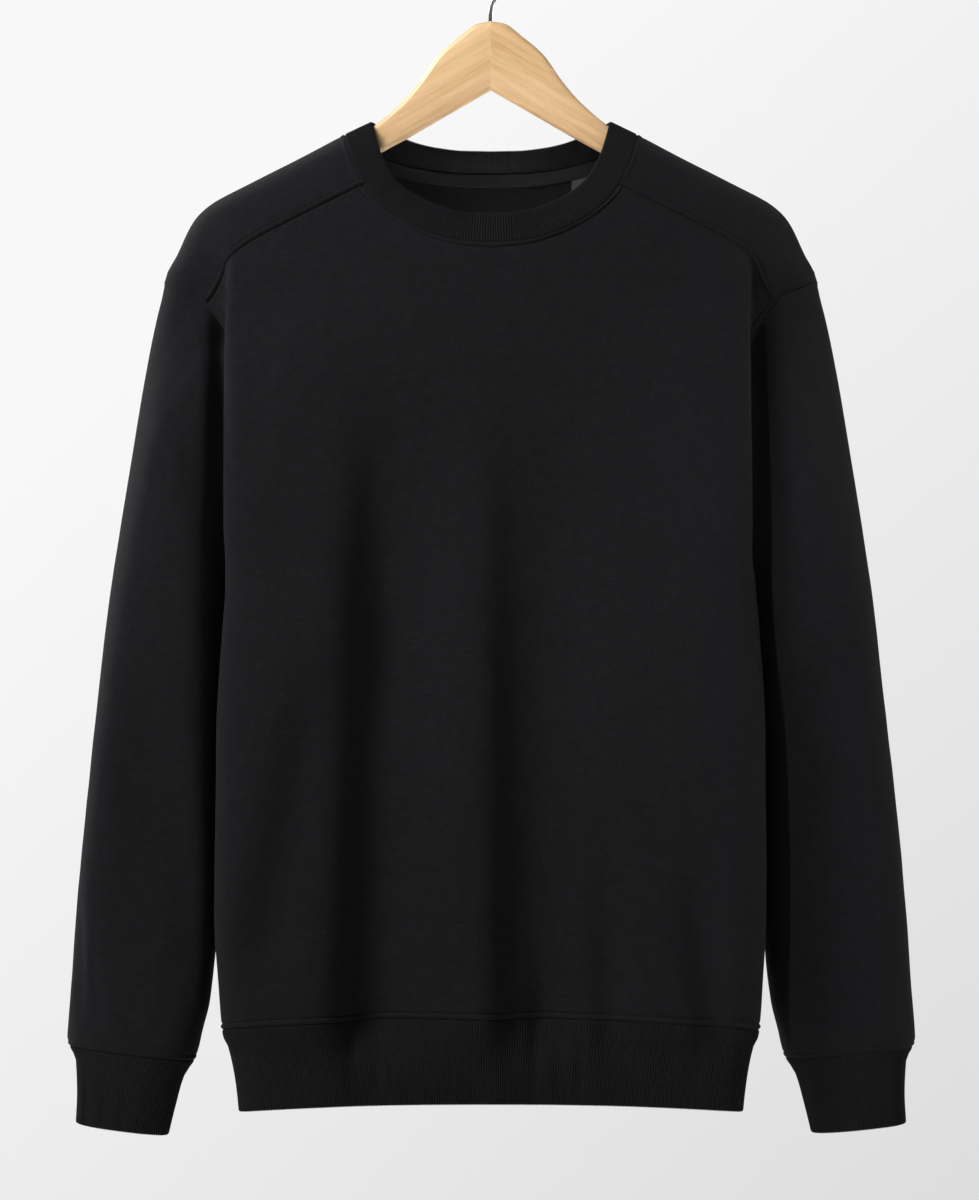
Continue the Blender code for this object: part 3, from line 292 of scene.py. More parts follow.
# The cloth is never quite even: shallow waves, longer down the cloth than across it.
WAVE_ACROSS = 0.034
WAVE_DOWN = 0.110
WAVE_HEIGHT = 0.0008
RIPPLE_ACROSS = 0.012
RIPPLE_DOWN = 0.022
RIPPLE_HEIGHT = 0.00022
WAVE_TOP = -0.1300
WAVE_FADE = 0.060
TORSO_WAVE_SEED = 7.3
SLEEVE_WAVE_SEED = 3.1

# ---------------------------------------------------------------- seams, stitches and knit

SEAM_ROLL = 0.0009
SEAM_ROLL_REACH = 0.0013
RIDGE_CENTRE = 0.0024
RIDGE_WIDTH = 0.0014
STITCH_DISTANCE = 0.0044
STITCH_DIP_SHARE = 0.75
STITCH_DIP_WIDTH = 0.0008
NECK_RIDGE = 0.00110
FORWARD_SEAM_RIDGE = 0.00130
FORWARD_SEAM_FRONT_RIDGE = 0.00010
ARMHOLE_RIDGE = 0.00070
SLEEVE_HEAD_RIDGE = 0.00020
HEM_RIDGE = 0.00090
CUFF_RIDGE = 0.00060
SHOULDER_NECK_RIDGE = 0.00050
SIDE_SEAM_RIDGE = 0.00010
SIDE_SEAM_ROLL_SHARE = 0.1
SHOULDER_NECK_ROLL_SHARE = 0.6
CUFF_ROLL_SHARE = 0.7
# Cut edges of two pieces closer than this belong to one seam.
SEAM_MEETS_WITHIN = 0.004

STITCH_PITCH = 0.0032
STITCH_LENGTH = 0.0026
STITCH_RADIUS = 0.00028
STITCH_SINK = 0.00008
# A stitch is closed by caps of two faces each, which takes six sides.
STITCH_SIDES = 6
# The rings along a stitch: share of its length, then size and height over the cloth in radii of the thread.
STITCH_PROFILE = (
    (0.00, 0.35, -0.90),
    (0.16, 0.85, -0.20),
    (0.35, 1.00, 0.35),
    (0.65, 1.00, 0.35),
    (0.84, 0.85, -0.20),
    (1.00, 0.35, -0.90),
)

RIB_PITCH = 0.0019
RIB_RELIEF = 0.00036
RIB_SEAM_ROLL = 0.0004
RIB_SEAM_REACH = 0.0014
RIB_EDGE_STEPS = 4
POINTS_PER_RIB = 4
NECK_POINTS_PER_RIB = 6

# ---------------------------------------------------------------- hanger and hook

HANGER_THICKNESS = 0.0120
HANGER_EDGE_ROUNDING = 0.0040
HANGER_EDGE_SEGMENTS = 7
HANGER_END = 0.2110
HANGER_ARM_HEIGHT = 0.0225
HANGER_END_RADIUS = 0.0090
HANGER_END_POINTS = 15
CREST_CLEARANCE = 0.0014
NECKBAND_CLEARANCE = 0.0018
JOINT_GAP = 0.00005
HANGER_TOP = (
    (0.0000, 0.0840),
    (0.0100, 0.0822),
    (0.0230, 0.0728),
    (0.0380, 0.0600),
    (0.0520, 0.0407),
    (0.0640, 0.0262),
    (0.0760, 0.0150),
)
HANGER_TOP_POINTS = 36
HANGER_VEE = (
    (0.0000, 0.0333),
    (0.0614, -0.0022),
)
HANGER_ARM_START = 0.0860
HANGER_GRAIN_ANGLE = math.radians(30)

WIRE_RADIUS = 0.0019
HOOK_INNER_RADIUS = 0.0190
HOOK_TIP_ANGLE = math.radians(200)
HOOK_TURN_ANGLE = math.radians(-62)
HOOK_ARC_POINTS = 48
HOOK_NECK_HEIGHT = 0.0480
HOOK_NECK_POINTS = 14
HOOK_NECK_EASE = 0.4
# The stem goes this far into the wood, which is drawn without the bore that the solids have.
STEM_DEPTH = 0.0200
WIRE_SIDES = 20
WIRE_TIP_STEPS = 7
WIRE_TIP_FLAT = 0.12

# ---------------------------------------------------------------- surfaces, flat cuts, light and camera

# Sizes of the jersey's stitches, of the rib's rows and of the tape's diagonal ridges.
JERSEY_WALE = 0.00125
JERSEY_COURSE = 0.00095
RIB_COURSE = 0.00105
TWILL_PITCH = 0.0011
TWILL_TURN = 0.0024
CLOTH_ROUGHNESS = 0.90
CLOTH_SHEEN_TINT = (0.80, 0.82, 0.90, 1.0)

# Edges that turn by more than this many degrees stay sharp.
SHARP_CLOTH = 50
SHARP_BAND = 75
SHARP_THREAD = 80
SHARP_WOOD = 32
SHARP_WIRE = 40

FLOOR_RADIUS = 3.2
FLOOR_HEIGHT = -1.6
FLOOR_SIDES = 96

WORLD_MIDDLE = 0.86
WORLD_FALL_DOWN = 0.55
WORLD_FALL_RIGHT = 0.50
WORLD_DARKEST = 0.68
WORLD_BRIGHTEST = 0.94
WORLD_LIGHT = 0.09

# Soft lamps: place, aim, width and height in metres, power in watts and the spread of the beam in degrees.
# The inside light stands for what bounces about inside the neck.
LAMPS = {
    "key_light": ((-2.25, -1.75, 1.80), (0.0, 0.0, -0.45), 1.1, 1.1, 148.0, 180),
    "neck_light": ((-0.1, -3.0, -0.95), (0.0, 0.0, -0.17), 0.8, 0.8, 0.34, 8),
    "inside_light": ((0.015, 0.030, -0.42), (0.0, 0.012, -0.15), 0.04, 0.04, 0.080, 60),
    "sleeve_light": ((-1.3, -2.8, 0.1), (0.30, 0.0, -0.62), 0.10, 0.75, 0.22, 7),
    "fill_light": ((2.6, -2.2, 0.2), (0.0, 0.0, -0.5), 2.2, 2.2, 6.0, 180),
    "side_light": ((3.2, 1.0, 0.2), (0.0, 0.0, -0.45), 1.6, 1.6, 60.0, 180),
    "back_light": ((-2.5, 2.1, 1.2), (0.0, 0.0, -0.45), 1.4, 1.4, 110.0, 180),
}

CAMERA_PLACE = (-0.0011, -3.0, -0.490)
CAMERA_LENS = 81.08
CAMERA_SENSOR = 24.0


# ---------------------------------------------------------------- curves from tables


def columns(names, rows):
    """The table's columns by name, as arrays."""
    return dict(zip(names, np.array(rows, dtype=float).T))


def smooth_through(knots, values, at):
    """Monotone cubic through the knots: smooth, and never past a value in the table."""
    knots = np.asarray(knots, dtype=float)
    values = np.asarray(values, dtype=float)
    if knots[0] > knots[-1]:
        knots = knots[::-1]
        values = values[::-1]
    width = np.diff(knots)
    rise = np.diff(values) / width
    slope = np.zeros(len(knots))
    slope[0] = rise[0]
    slope[-1] = rise[-1]
    same_way = rise[1:] * rise[:-1] > 0
    mean = 2 * rise[1:] * rise[:-1] / np.where(same_way, rise[1:] + rise[:-1], 1)
    slope[1:-1] = np.where(same_way, mean, 0)
    cell = np.clip(np.searchsorted(knots, at) - 1, 0, len(width) - 1)
    part = np.clip((at - knots[cell]) / width[cell], 0, 1)
    start = values[cell] + part * width[cell] * slope[cell]
    turn = 3 * rise[cell] - 2 * slope[cell] - slope[cell + 1]
    bend = slope[cell] + slope[cell + 1] - 2 * rise[cell]
    return start + width[cell] * (turn * part**2 + bend * part**3)


def soft_step(value):
    """Rises smoothly from 0 to 1 as the value does."""
    part = np.clip(value, 0, 1)
    return part * part * (3 - 2 * part)


def signed_power(value, power):
    return np.sign(value) * np.abs(value) ** power


def unit(vectors):
    return vectors / np.linalg.norm(vectors, axis=-1, keepdims=True)


def points_along(outline, parts):
    """Points at these shares of the length of an outline of (x, height) rows, drawn smooth."""
    outline = np.array(outline, dtype=float)
    run = run_along(outline)
    fine = np.linspace(0, run[-1], OUTLINE_STEPS)
    smooth = np.column_stack([smooth_through(run, outline[:, k], fine) for k in (0, 1)])
    length = run_along(smooth)
    return read_line(smooth, np.asarray(parts) * length[-1], length)


def run_along(line):
    """Distance of each point from the first, along the line."""
    return np.concatenate(([0], np.cumsum(np.linalg.norm(np.diff(line, axis=0), axis=1))))


def read_line(places, wanted, run):
    """Points at the wanted distances along a line."""
    return np.column_stack([np.interp(wanted, run, places[:, k]) for k in range(places.shape[1])])


def growing_steps(first, growth, largest):
    """Shares from 0 to 1 whose steps start small and grow up to the largest."""
    places = [0.0]
    step = first
    while places[-1] < 1:
        places.append(places[-1] + step)
        step = min(step * growth, largest)
    return np.array(places) / places[-1]


TORSO = columns(TORSO_COLUMNS, TORSO_SECTIONS)
STEPS = [dict(zip(STEP_COLUMNS, row)) for row in TORSO_STEPS]
VALLEYS = [dict(zip(VALLEY_COLUMNS, row)) for row in TORSO_VALLEYS]
SLEEVE_TROUGHS = [dict(zip(SLEEVE_FOLD_COLUMNS, row)) for row in SLEEVE_FOLDS]


# ---------------------------------------------------------------- the torso's surface


def torso_value(name, height):
    return smooth_through(TORSO["height"], TORSO[name], height)


def outlines(side, heights):
    """Half of the level outline at each height: distance along it from the side, x and y, in rows."""
    turn = np.linspace(0, math.pi / 2, SECTION_STEPS)
    squareness = torso_value("squareness", heights)
    if side == FRONT:
        squareness = squareness + FRONT_FLATTER * soft_step((FLATTER_TOP - heights) / FLATTER_FADE)
    power = (2 / squareness)[:, None]
    depth = torso_value("front" if side == FRONT else "back", heights)[:, None]
    x = torso_value("half_width", heights)[:, None] * np.cos(turn) ** power
    y = side * depth * np.sin(turn) ** power
    x[:, -1] = 0.0
    step = np.hypot(np.diff(x, axis=1), np.diff(y, axis=1))
    run = np.concatenate((np.zeros((len(heights), 1)), np.cumsum(step, axis=1)), axis=1)
    return run, x, y


def read_rows(wanted, knots, values):
    """Linear reading of each row's values at its own wanted place."""
    cell = np.clip((knots <= wanted[:, None]).sum(axis=1) - 1, 0, knots.shape[1] - 2)
    row = np.arange(len(wanted))
    start = knots[row, cell]
    width = np.maximum(knots[row, cell + 1] - start, 1e-12)
    part = np.clip((wanted - start) / width, 0, 1)
    if values.ndim == 3:
        part = part[:, None]
    return values[row, cell] * (1 - part) + values[row, cell + 1] * part


def fold_line(fold, x, height):
    """Distance across from the fold's line, and how strongly the fold shows at this height."""
    down = (fold["top"] - height) / (fold["top"] - fold["bottom"])
    across = x - (fold["x_top"] + (fold["x_bottom"] - fold["x_top"]) * np.clip(down, 0, 1))
    start = soft_step((fold["top"] - height) / fold["fade"])
    end = soft_step((height - fold["bottom"]) / fold["fade_low"])
    return across, start * end


def fold_depth(side, x, height):
    """How far the folds push the cloth in at each place."""
    total = np.zeros_like(x)
    for fold in STEPS:
        if fold["side"] == side:
            across, share = fold_line(fold, x, height)
            back = (1 + np.tanh(across / fold["step"])) / 2
            past = across * np.sign(fold["step"])
            hollow = back * np.exp(-((np.maximum(past, 0) / fold["return"]) ** 2))
            crest = (1 - back) * np.exp(-((np.minimum(past, 0) / CREST_REACH) ** 2))
            total += fold["depth"] * share * (hollow - CREST_SHARE * crest)
    for fold in VALLEYS:
        if fold["side"] == side:
            across, share = fold_line(fold, x, height)
            width = np.where(across < 0, fold["left_width"], fold["right_width"])
            total += fold["depth"] * share * np.exp(-((across / width) ** 2))
    return total


def uneven(x, y, height, seed):
    """The cloth's own shallow unevenness, as a height over the drawn surface."""
    rise = np.empty(len(x))
    for k, place in enumerate(zip(x, y, height)):
        wave = Vector((place[0] / WAVE_ACROSS + seed, place[1] / WAVE_ACROSS, place[2] / WAVE_DOWN))
        ripple = Vector((place[0] / RIPPLE_ACROSS, place[1] / RIPPLE_ACROSS + seed, place[2] / RIPPLE_DOWN))
        rise[k] = noise.noise(wave) * WAVE_HEIGHT + noise.noise(ripple) * RIPPLE_HEIGHT
    return rise


def torso_points(side, across, height):
    """Points of the torso: across runs from -1 at the left side over 0 at the centre to 1 at the right."""
    across, height = np.broadcast_arrays(np.asarray(across, dtype=float), np.asarray(height, dtype=float))
    shape = across.shape
    across = across.ravel()
    height = height.ravel()
    run, xs, ys = outlines(side, height)
    whole = run[:, -1]
    place = whole * (1 - np.abs(across))
    way = np.where(across < 0, LEFT, RIGHT)
    x = read_rows(place, run, xs)
    y = read_rows(place, run, ys)
    near = np.maximum(place - SLOPE_STEP, 0)
    far = np.minimum(place + SLOPE_STEP, whole)
    run_x = read_rows(far, run, xs) - read_rows(near, run, xs)
    run_y = read_rows(far, run, ys) - read_rows(near, run, ys)
    length = np.hypot(run_x, run_y)
    from_side = soft_step(place / FOLD_FADE_AT_SIDE)
    push = fold_depth(side, way * x, height) * from_side
    wave = soft_step((WAVE_TOP - height) / WAVE_FADE) * from_side
    push -= uneven(way * x, y, height, TORSO_WAVE_SEED * side) * wave
    x = x - push * np.abs(run_y) / length
    y = y - side * push * np.abs(run_x) / length
    return np.column_stack((way * x, y, height)).reshape(*shape, 3)


def across_at_x(side, x, height):
    """The across value of the points at these x."""
    run, xs, _ = outlines(side, height)
    place = read_rows(-np.abs(x), -xs, run)
    return np.copysign(1 - place / run[:, -1], x)


def across_at_depth(side, depth, height):
    """The across value, on the right half, of points this far in front of or behind the side."""
    run, _, ys = outlines(side, height)
    place = read_rows(depth, np.abs(ys), run)
    return 1 - place / run[:, -1]


def armhole_places(side, angles):
    """Across values and heights on the armhole; the angle is 0 at the shoulder tip and pi at the armpit."""
    angles = np.asarray(angles, dtype=float)
    height = ARMHOLE_MIDDLE + ARMHOLE_HALF * np.cos(angles)
    reach = ARMHOLE_BACK_REACH
    if side == FRONT:
        reach = ARMHOLE_FRONT_REACH * (1 + ARMHOLE_FRONT_TOP_HEAVINESS * np.cos(angles))
    depth = reach * np.maximum(np.sin(angles), 0.0) ** ARMHOLE_FULLNESS
    depth = np.where((angles == 0.0) | (angles == math.pi), 0.0, depth)
    return np.column_stack((across_at_depth(side, depth, height), height))


def armhole_angle(height):
    return math.acos((height - ARMHOLE_MIDDLE) / ARMHOLE_HALF)


# ---------------------------------------------------------------- how finely the cloth is drawn

HALF_COLUMNS = 1 - growing_steps(first=0.0018, growth=1.17, largest=0.0140)
COLUMNS = np.concatenate((-HALF_COLUMNS, HALF_COLUMNS[-2::-1]))
SIDE_PARTS = growing_steps(first=0.0012, growth=1.17, largest=0.0150)[:-1]
ALONG_FORWARD_SEAM = 1 - growing_steps(first=0.0035, growth=1.15, largest=0.0450)[::-1]
ACROSS_WRAP = 1 - growing_steps(first=0.0080, growth=1.20, largest=0.1100)[::-1]
SEAM_END_ANGLE = armhole_angle(FORWARD_SEAM[0][1])
FRONT_ANGLES = np.linspace(math.pi, SEAM_END_ANGLE, 47)
BACK_ANGLES = np.linspace(math.pi, 0.0, 57)
WRAP_ANGLES = ACROSS_WRAP * SEAM_END_ANGLE
SLEEVE_PARTS_HEAD = growing_steps(first=0.0012, growth=1.18, largest=0.0110)
NECK_RIB_PARTS = np.array((0.0, 0.02, 0.05, 0.10, 0.20, 0.32, 0.46, 0.60, 0.74, 0.88, 1.0))
BAND_PARTS = np.array((0.0, 0.008, 0.020, 0.045, 0.10, 0.20, 0.32, 0.44, 0.56, 0.68, 0.80, 0.92, 1.0))
INSIDE_ROW_STEP = 3
TAPE_PARTS = np.array((0.0, 0.03, 0.08, 0.16, 0.30, 0.50, 0.70, 0.84, 0.92, 0.97, 1.0))
TAPE_COLUMNS = 151
LABEL_ROWS = 25
LABEL_COLUMNS = 21


# ---------------------------------------------------------------- walls of cloth


class Cloth:
    """A cut piece: its outer face in blocks of rows and columns of points, welded where they meet."""

    def __init__(self, name, thickness):
        self.name = name
        self.thickness = thickness
        self.points = np.zeros((0, 3))
        self.relief = np.zeros(0)
        self.cells = []
        self.corner_flat = []
        self.blocks = []

    def add_block(self, grid, relief, closed=False, flip=False):
        """Cells between rows of points; the outer side is where columns cross rows, or its opposite."""
        row_count, column_count = grid.shape[:2]
        flat = flat_places(grid, closed)
        start = len(self.points)
        self.points = np.vstack((self.points, grid.reshape(-1, 3)))
        self.relief = np.concatenate((self.relief, relief.ravel()))
        index = start + np.arange(row_count * column_count).reshape(row_count, column_count)
        self.blocks.append(index)
        reach = column_count if closed else column_count - 1
        near = np.arange(reach)
        far = (near + 1) % column_count
        low, high = index[:-1], index[1:]
        cells = np.stack((low[:, near], low[:, far], high[:, far], high[:, near]), axis=-1).reshape(-1, 4)
        low, high = flat[:-1], flat[1:]
        corners = (low[:, :reach], low[:, 1:reach + 1], high[:, 1:reach + 1], high[:, :reach])
        places = np.stack(corners, axis=2).reshape(-1, 4, 2)
        self.cells.append(cells[:, ::-1] if flip else cells)
        self.corner_flat.append(places[:, ::-1] if flip else places)

    def weld(self):
        """Joins the points where blocks meet, and finds the facing and the cut edges."""
        keys = np.round(self.points, 6)
        _, first, joined = np.unique(keys, axis=0, return_index=True, return_inverse=True)
        joined = joined.ravel()
        self.cells = joined[np.concatenate(self.cells)]
        self.corner_flat = np.concatenate(self.corner_flat)
        self.blocks = [joined[index] for index in self.blocks]
        order = np.argsort(np.abs(self.relief))
        relief = np.zeros(len(first))
        relief[joined[order]] = self.relief[order]
        self.relief = relief
        self.points = self.points[first]
        self.facing = self.find_facing()
        self.rim, self.rim_flat = self.find_rim()
        self.after = dict(self.rim.tolist())
        self.before = {b: a for a, b in self.rim.tolist()}

    def find_facing(self):
        a, b, c, d = (self.points[self.cells[:, k]] for k in range(4))
        across = np.cross(c - a, d - b)
        total = np.zeros_like(self.points)
        for k in range(4):
            np.add.at(total, self.cells[:, k], across)
        return unit(total)

    def find_rim(self):
        """The cut edges as pairs of points, with the flat places of both ends."""
        starts = self.cells.ravel()
        ends = np.roll(self.cells, -1, axis=1).ravel()
        flat_starts = self.corner_flat.reshape(-1, 2)
        flat_ends = np.roll(self.corner_flat, -1, axis=1).reshape(-1, 2)
        size = len(self.points)
        inside = np.isin(starts * size + ends, ends * size + starts)
        edge = ~inside
        pairs = np.column_stack((starts[edge], ends[edge]))
        return pairs, np.stack((flat_starts[edge], flat_ends[edge]), axis=1)

    def build_wall(self, shared):
        """Outer and inner faces and the rim between them; keeps the outer points for the stitches."""
        drawn = self.points.copy()
        through = self.facing * self.thickness
        lift = self.facing.copy()
        for corner, following in self.after.items():
            direction = shared.get((self.name, corner), self.facing[corner])
            along = self.points[following] - self.points[self.before[corner]]
            inward = np.cross(direction, along)
            drawn[corner] += inward / np.linalg.norm(inward) * SEAM_GAP / 2
            slant = max(direction.dot(self.facing[corner]), THINNEST_MITRE)
            through[corner] = direction * self.thickness / slant
            lift[corner] = direction
        self.outer = drawn + lift * self.relief[:, None]
        inner = drawn - through
        count = len(drawn)
        starts, ends = self.rim[:, 0], self.rim[:, 1]
        edge_cells = np.column_stack((ends, starts, starts + count, ends + count))
        near_flat, far_flat = self.rim_flat[:, 0], self.rim_flat[:, 1]
        edge_flat = np.stack((far_flat, near_flat, near_flat, far_flat), axis=1)
        cells = np.concatenate((self.cells, self.cells[:, ::-1] + count, edge_cells))
        flat = np.concatenate((self.corner_flat, self.corner_flat[:, ::-1], edge_flat))
        inside = np.zeros(len(cells), dtype=int)
        inside[len(self.cells):2 * len(self.cells)] = 1
        return np.vstack((self.outer, inner)), cells, flat, inside

    def outer_grid(self, block):
        index = self.blocks[block]
        return self.outer[index], self.facing[index]


def flat_places(grid, closed):
    """Places on the flat cut, in metres: across from the middle column and up from the first row."""
    if closed:
        grid = np.concatenate((grid, grid[:, :1]), axis=1)
    across = np.linalg.norm(np.diff(grid, axis=1), axis=2)
    across = np.concatenate((np.zeros((len(grid), 1)), np.cumsum(across, axis=1)), axis=1)
    middle = across.shape[1] // 2
    across = across - across[:, middle:middle + 1]
    up = np.linalg.norm(np.diff(grid, axis=0), axis=2)
    up = np.concatenate((np.zeros((1, grid.shape[1])), np.cumsum(up, axis=0)))
    return np.stack((across, up), axis=-1)


def shared_seams(pieces):
    """The direction through the cloth at each cut edge, halfway between the pieces that meet there."""
    trees = []
    for _, corners, places, _ in pieces:
        tree = kdtree.KDTree(len(corners))
        for k, place in enumerate(places):
            tree.insert(Vector(place), k)
        tree.balance()
        trees.append(tree)
    shared = {}
    for own, (name, corners, places, facings) in enumerate(pieces):
        for corner, place, mine in zip(corners, places, facings):
            met = [mine]
            for other, tree in enumerate(trees):
                if other == own:
                    continue
                _, k, distance = tree.find(Vector(place))
                if distance < SEAM_MEETS_WITHIN:
                    met.append(pieces[other][3][k])
            far = min(met, key=mine.dot)
            shared[(name, corner)] = unit(mine + far)
    return shared


def border_run(grid):
    """Distance of each point from the first row, along its column."""
    step = np.linalg.norm(np.diff(grid, axis=0), axis=2)
    return np.concatenate((np.zeros((1, grid.shape[1])), np.cumsum(step, axis=0)))


def seam_relief(distance, ridge, roll=1.0):
    """The rolled edge, the ridge over the allowance inside and the dip under the topstitching."""
    edge = -SEAM_ROLL * roll * np.clip(1 - distance / SEAM_ROLL_REACH, 0, 1) ** 2
    rise = ridge * np.exp(-(((distance - RIDGE_CENTRE) / RIDGE_WIDTH) ** 2))
    dip = ridge * STITCH_DIP_SHARE * np.exp(-(((distance - STITCH_DISTANCE) / STITCH_DIP_WIDTH) ** 2))
    return edge + rise - dip


def strongest(*reliefs):
    """Of several reliefs, the one that stands out or dips most at each point."""
    stack = np.stack(np.broadcast_arrays(*reliefs))
    pick = np.argmax(np.abs(stack), axis=0)
    return np.take_along_axis(stack, pick[None], axis=0)[0]


def beside_border(grid, facing, distance):
    """A line of points and facings at this distance from the first row."""
    run = border_run(grid).T
    wanted = np.full(len(run), distance)
    line = read_rows(wanted, run, grid.transpose(1, 0, 2))
    return line, unit(read_rows(wanted, run, facing.transpose(1, 0, 2)))


# ---------------------------------------------------------------- front and back


def hem_seam_height(side, across):
    middle = HEM_SEAM_FRONT if side == FRONT else HEM_SEAM_BACK
    return middle + (HEM_SEAM_SIDE - middle) * np.abs(across) ** HEM_SEAM_POWER


def bent_row(edge_across, edge_height, centre_height):
    """Across values and heights of a row that bends from the centre to its edge."""
    height = centre_height + (edge_height - centre_height) * np.abs(COLUMNS) ** ROW_BEND_POWER
    return COLUMNS * edge_across, height


def panel_rows(side, angles, centre_top):
    """Rows of a panel from the hem seam over the side seam and up the armhole."""
    middle = HEM_SEAM_FRONT if side == FRONT else HEM_SEAM_BACK
    rows = []
    for part in SIDE_PARTS:
        edge = HEM_SEAM_SIDE + (ARMHOLE_BOTTOM - HEM_SEAM_SIDE) * part
        centre = middle + (ARMHOLE_BOTTOM - middle) * part
        across, height = bent_row(1.0, edge, centre)
        seam = hem_seam_height(side, COLUMNS)
        seam_off = seam - bent_row(1.0, HEM_SEAM_SIDE, middle)[1]
        rows.append((across, height + seam_off * (1 - part) ** HEM_CURVE_FADE_POWER))
    centres = np.linspace(ARMHOLE_BOTTOM, centre_top, len(angles))
    for (edge_across, edge_height), centre in zip(armhole_places(side, angles), centres):
        rows.append(bent_row(edge_across, edge_height, centre))
    return rows


def neck_places(side, half_seam, values):
    """Across values and heights along the neck seam, from left to right."""
    part = np.linspace(0, 1, NECK_SEAM_STEPS)
    half = points_along(half_seam, part)
    x = np.interp(1 - np.abs(values), part, half[:, 0])
    height = np.interp(1 - np.abs(values), part, half[:, 1])
    return np.copysign(across_at_x(side, x, height), values), height


def shoulder_rows(low, edges, neck):
    """Rows from the last armhole row to the neck seam; the edges give each row's ends."""
    low_across, low_height = low
    neck_across, neck_height = neck
    start_across, start_height = edges[0]
    end_across, end_height = edges[-1]
    rows = []
    for edge_across, edge_height in edges[1:]:
        part = (edge_height - start_height) / (end_height - start_height)
        share = (1 - part) * low_across / start_across + part * neck_across / end_across
        rows.append((share * edge_across, (1 - part) * low_height + part * neck_height))
    return rows


def front_neck_half():
    """The front neck seam from the forward shoulder seam to the centre."""
    seam = np.array(NECK_SEAM_FRONT)
    meet = FORWARD_SEAM[-1][1]
    x = float(smooth_through(seam[:, 1], seam[:, 0], meet))
    return [(x, meet)] + [tuple(row) for row in seam if row[1] < meet]


def forward_seam_places():
    """Across values and heights along the forward seam, from the armhole to the neck."""
    line = points_along(FORWARD_SEAM, ALONG_FORWARD_SEAM)
    places = np.column_stack((across_at_x(FRONT, line[:, 0], line[:, 1]), line[:, 1]))
    places[0] = armhole_places(FRONT, [SEAM_END_ANGLE])[0]
    neck_x, neck_height = front_neck_half()[0]
    places[-1] = (across_at_x(FRONT, np.array([neck_x]), np.array([neck_height]))[0], neck_height)
    return places


def shoulder_line_heights():
    knots = np.linspace(0, 1, len(SHOULDER_LINE_HEIGHTS))
    return smooth_through(knots, SHOULDER_LINE_HEIGHTS, ALONG_FORWARD_SEAM)


def wrap_places():
    """The back's strip in front of the shoulder line, on the right half: across values and heights."""
    heights = shoulder_line_heights()
    line = np.column_stack((np.ones(len(heights)), heights))
    seam = forward_seam_places()
    neck = np.array(NECK_SEAM_FRONT)
    part = ALONG_FORWARD_SEAM[:, None]
    rows = []
    for step, arm in zip(ACROSS_WRAP, armhole_places(FRONT, WRAP_ANGLES)):
        neck_height = neck[0, 1] + (seam[-1][1] - neck[0, 1]) * step
        neck_x = smooth_through(neck[:, 1], neck[:, 0], np.array([neck_height]))
        neck_across = across_at_x(FRONT, neck_x, np.array([neck_height]))[0] if step else 1.0
        if step == 1.0:
            neck_across = seam[-1][0]
        between = line * (1 - step) + seam * step
        mend = (arm - between[0]) * (1 - part) + (np.array((neck_across, neck_height)) - between[-1]) * part
        rows.append(between + mend)
    return np.array(rows)


def draw(side, rows):
    across = np.array([row[0] for row in rows])
    height = np.array([row[1] for row in rows])
    return torso_points(side, across, height)


def panel_relief(grid, seam_ridge_top, neck_ridge):
    """Relief beside the hem, side, armhole, forward or shoulder seam and neck of a panel."""
    side_count = len(SIDE_PARTS)
    armhole_count = len(grid) - side_count - len(ALONG_FORWARD_SEAM) + 1
    ridge = np.full(len(grid), seam_ridge_top)
    ridge[:side_count] = SIDE_SEAM_RIDGE
    ridge[side_count:side_count + armhole_count] = ARMHOLE_RIDGE
    roll = np.ones(len(grid))
    roll[:side_count] = SIDE_SEAM_ROLL_SHARE
    if seam_ridge_top == 0:
        roll[side_count + armhole_count:] = 0
    turned = grid.transpose(1, 0, 2)
    left = seam_relief(border_run(turned), ridge, roll).T
    right = seam_relief(border_run(turned[::-1]), ridge, roll)[::-1].T
    hem = seam_relief(border_run(grid), HEM_RIDGE)
    neck = seam_relief(border_run(grid[::-1]), neck_ridge)[::-1]
    return strongest(left, right, hem, neck)


def make_front():
    piece = Cloth("front", CLOTH_THICKNESS)
    rows = panel_rows(FRONT, FRONT_ANGLES, FRONT_ARMHOLE_CENTRE_TOP)
    neck = neck_places(FRONT, front_neck_half(), COLUMNS)
    rows += shoulder_rows(rows[-1], forward_seam_places(), neck)
    grid = draw(FRONT, rows)
    piece.add_block(grid, panel_relief(grid, FORWARD_SEAM_FRONT_RIDGE, NECK_RIDGE))
    piece.weld()
    return piece


def wrap_relief(grid):
    """Relief of a shoulder wrap: a raised ridge on the forward seam, and the neck and armhole seams."""
    turned = grid.transpose(1, 0, 2)
    seam = seam_relief(border_run(grid[::-1]), FORWARD_SEAM_RIDGE)[::-1]
    armhole = seam_relief(border_run(turned), ARMHOLE_RIDGE).T
    neck = seam_relief(border_run(turned[::-1]), SHOULDER_NECK_RIDGE, SHOULDER_NECK_ROLL_SHARE)[::-1].T
    return strongest(seam, armhole, neck)


def make_back():
    piece = Cloth("back", CLOTH_THICKNESS)
    rows = panel_rows(BACK, BACK_ANGLES, BACK_ARMHOLE_CENTRE_TOP)
    neck = neck_places(BACK, NECK_SEAM_BACK, COLUMNS)
    heights = shoulder_line_heights()
    edges = np.column_stack((np.ones(len(heights)), heights))
    rows += shoulder_rows(rows[-1], edges, neck)
    grid = draw(BACK, rows)
    piece.add_block(grid, panel_relief(grid, 0.0, SHOULDER_NECK_RIDGE), flip=True)
    places = wrap_places()
    for way in (LEFT, RIGHT):
        strip = torso_points(FRONT, way * places[..., 0], places[..., 1])
        strip[0] = torso_points(BACK, way * np.ones(len(heights)), heights)
        piece.add_block(strip, wrap_relief(strip), flip=way == LEFT)
    piece.weld()
    return piece


# ---------------------------------------------------------------- sleeves and cuffs


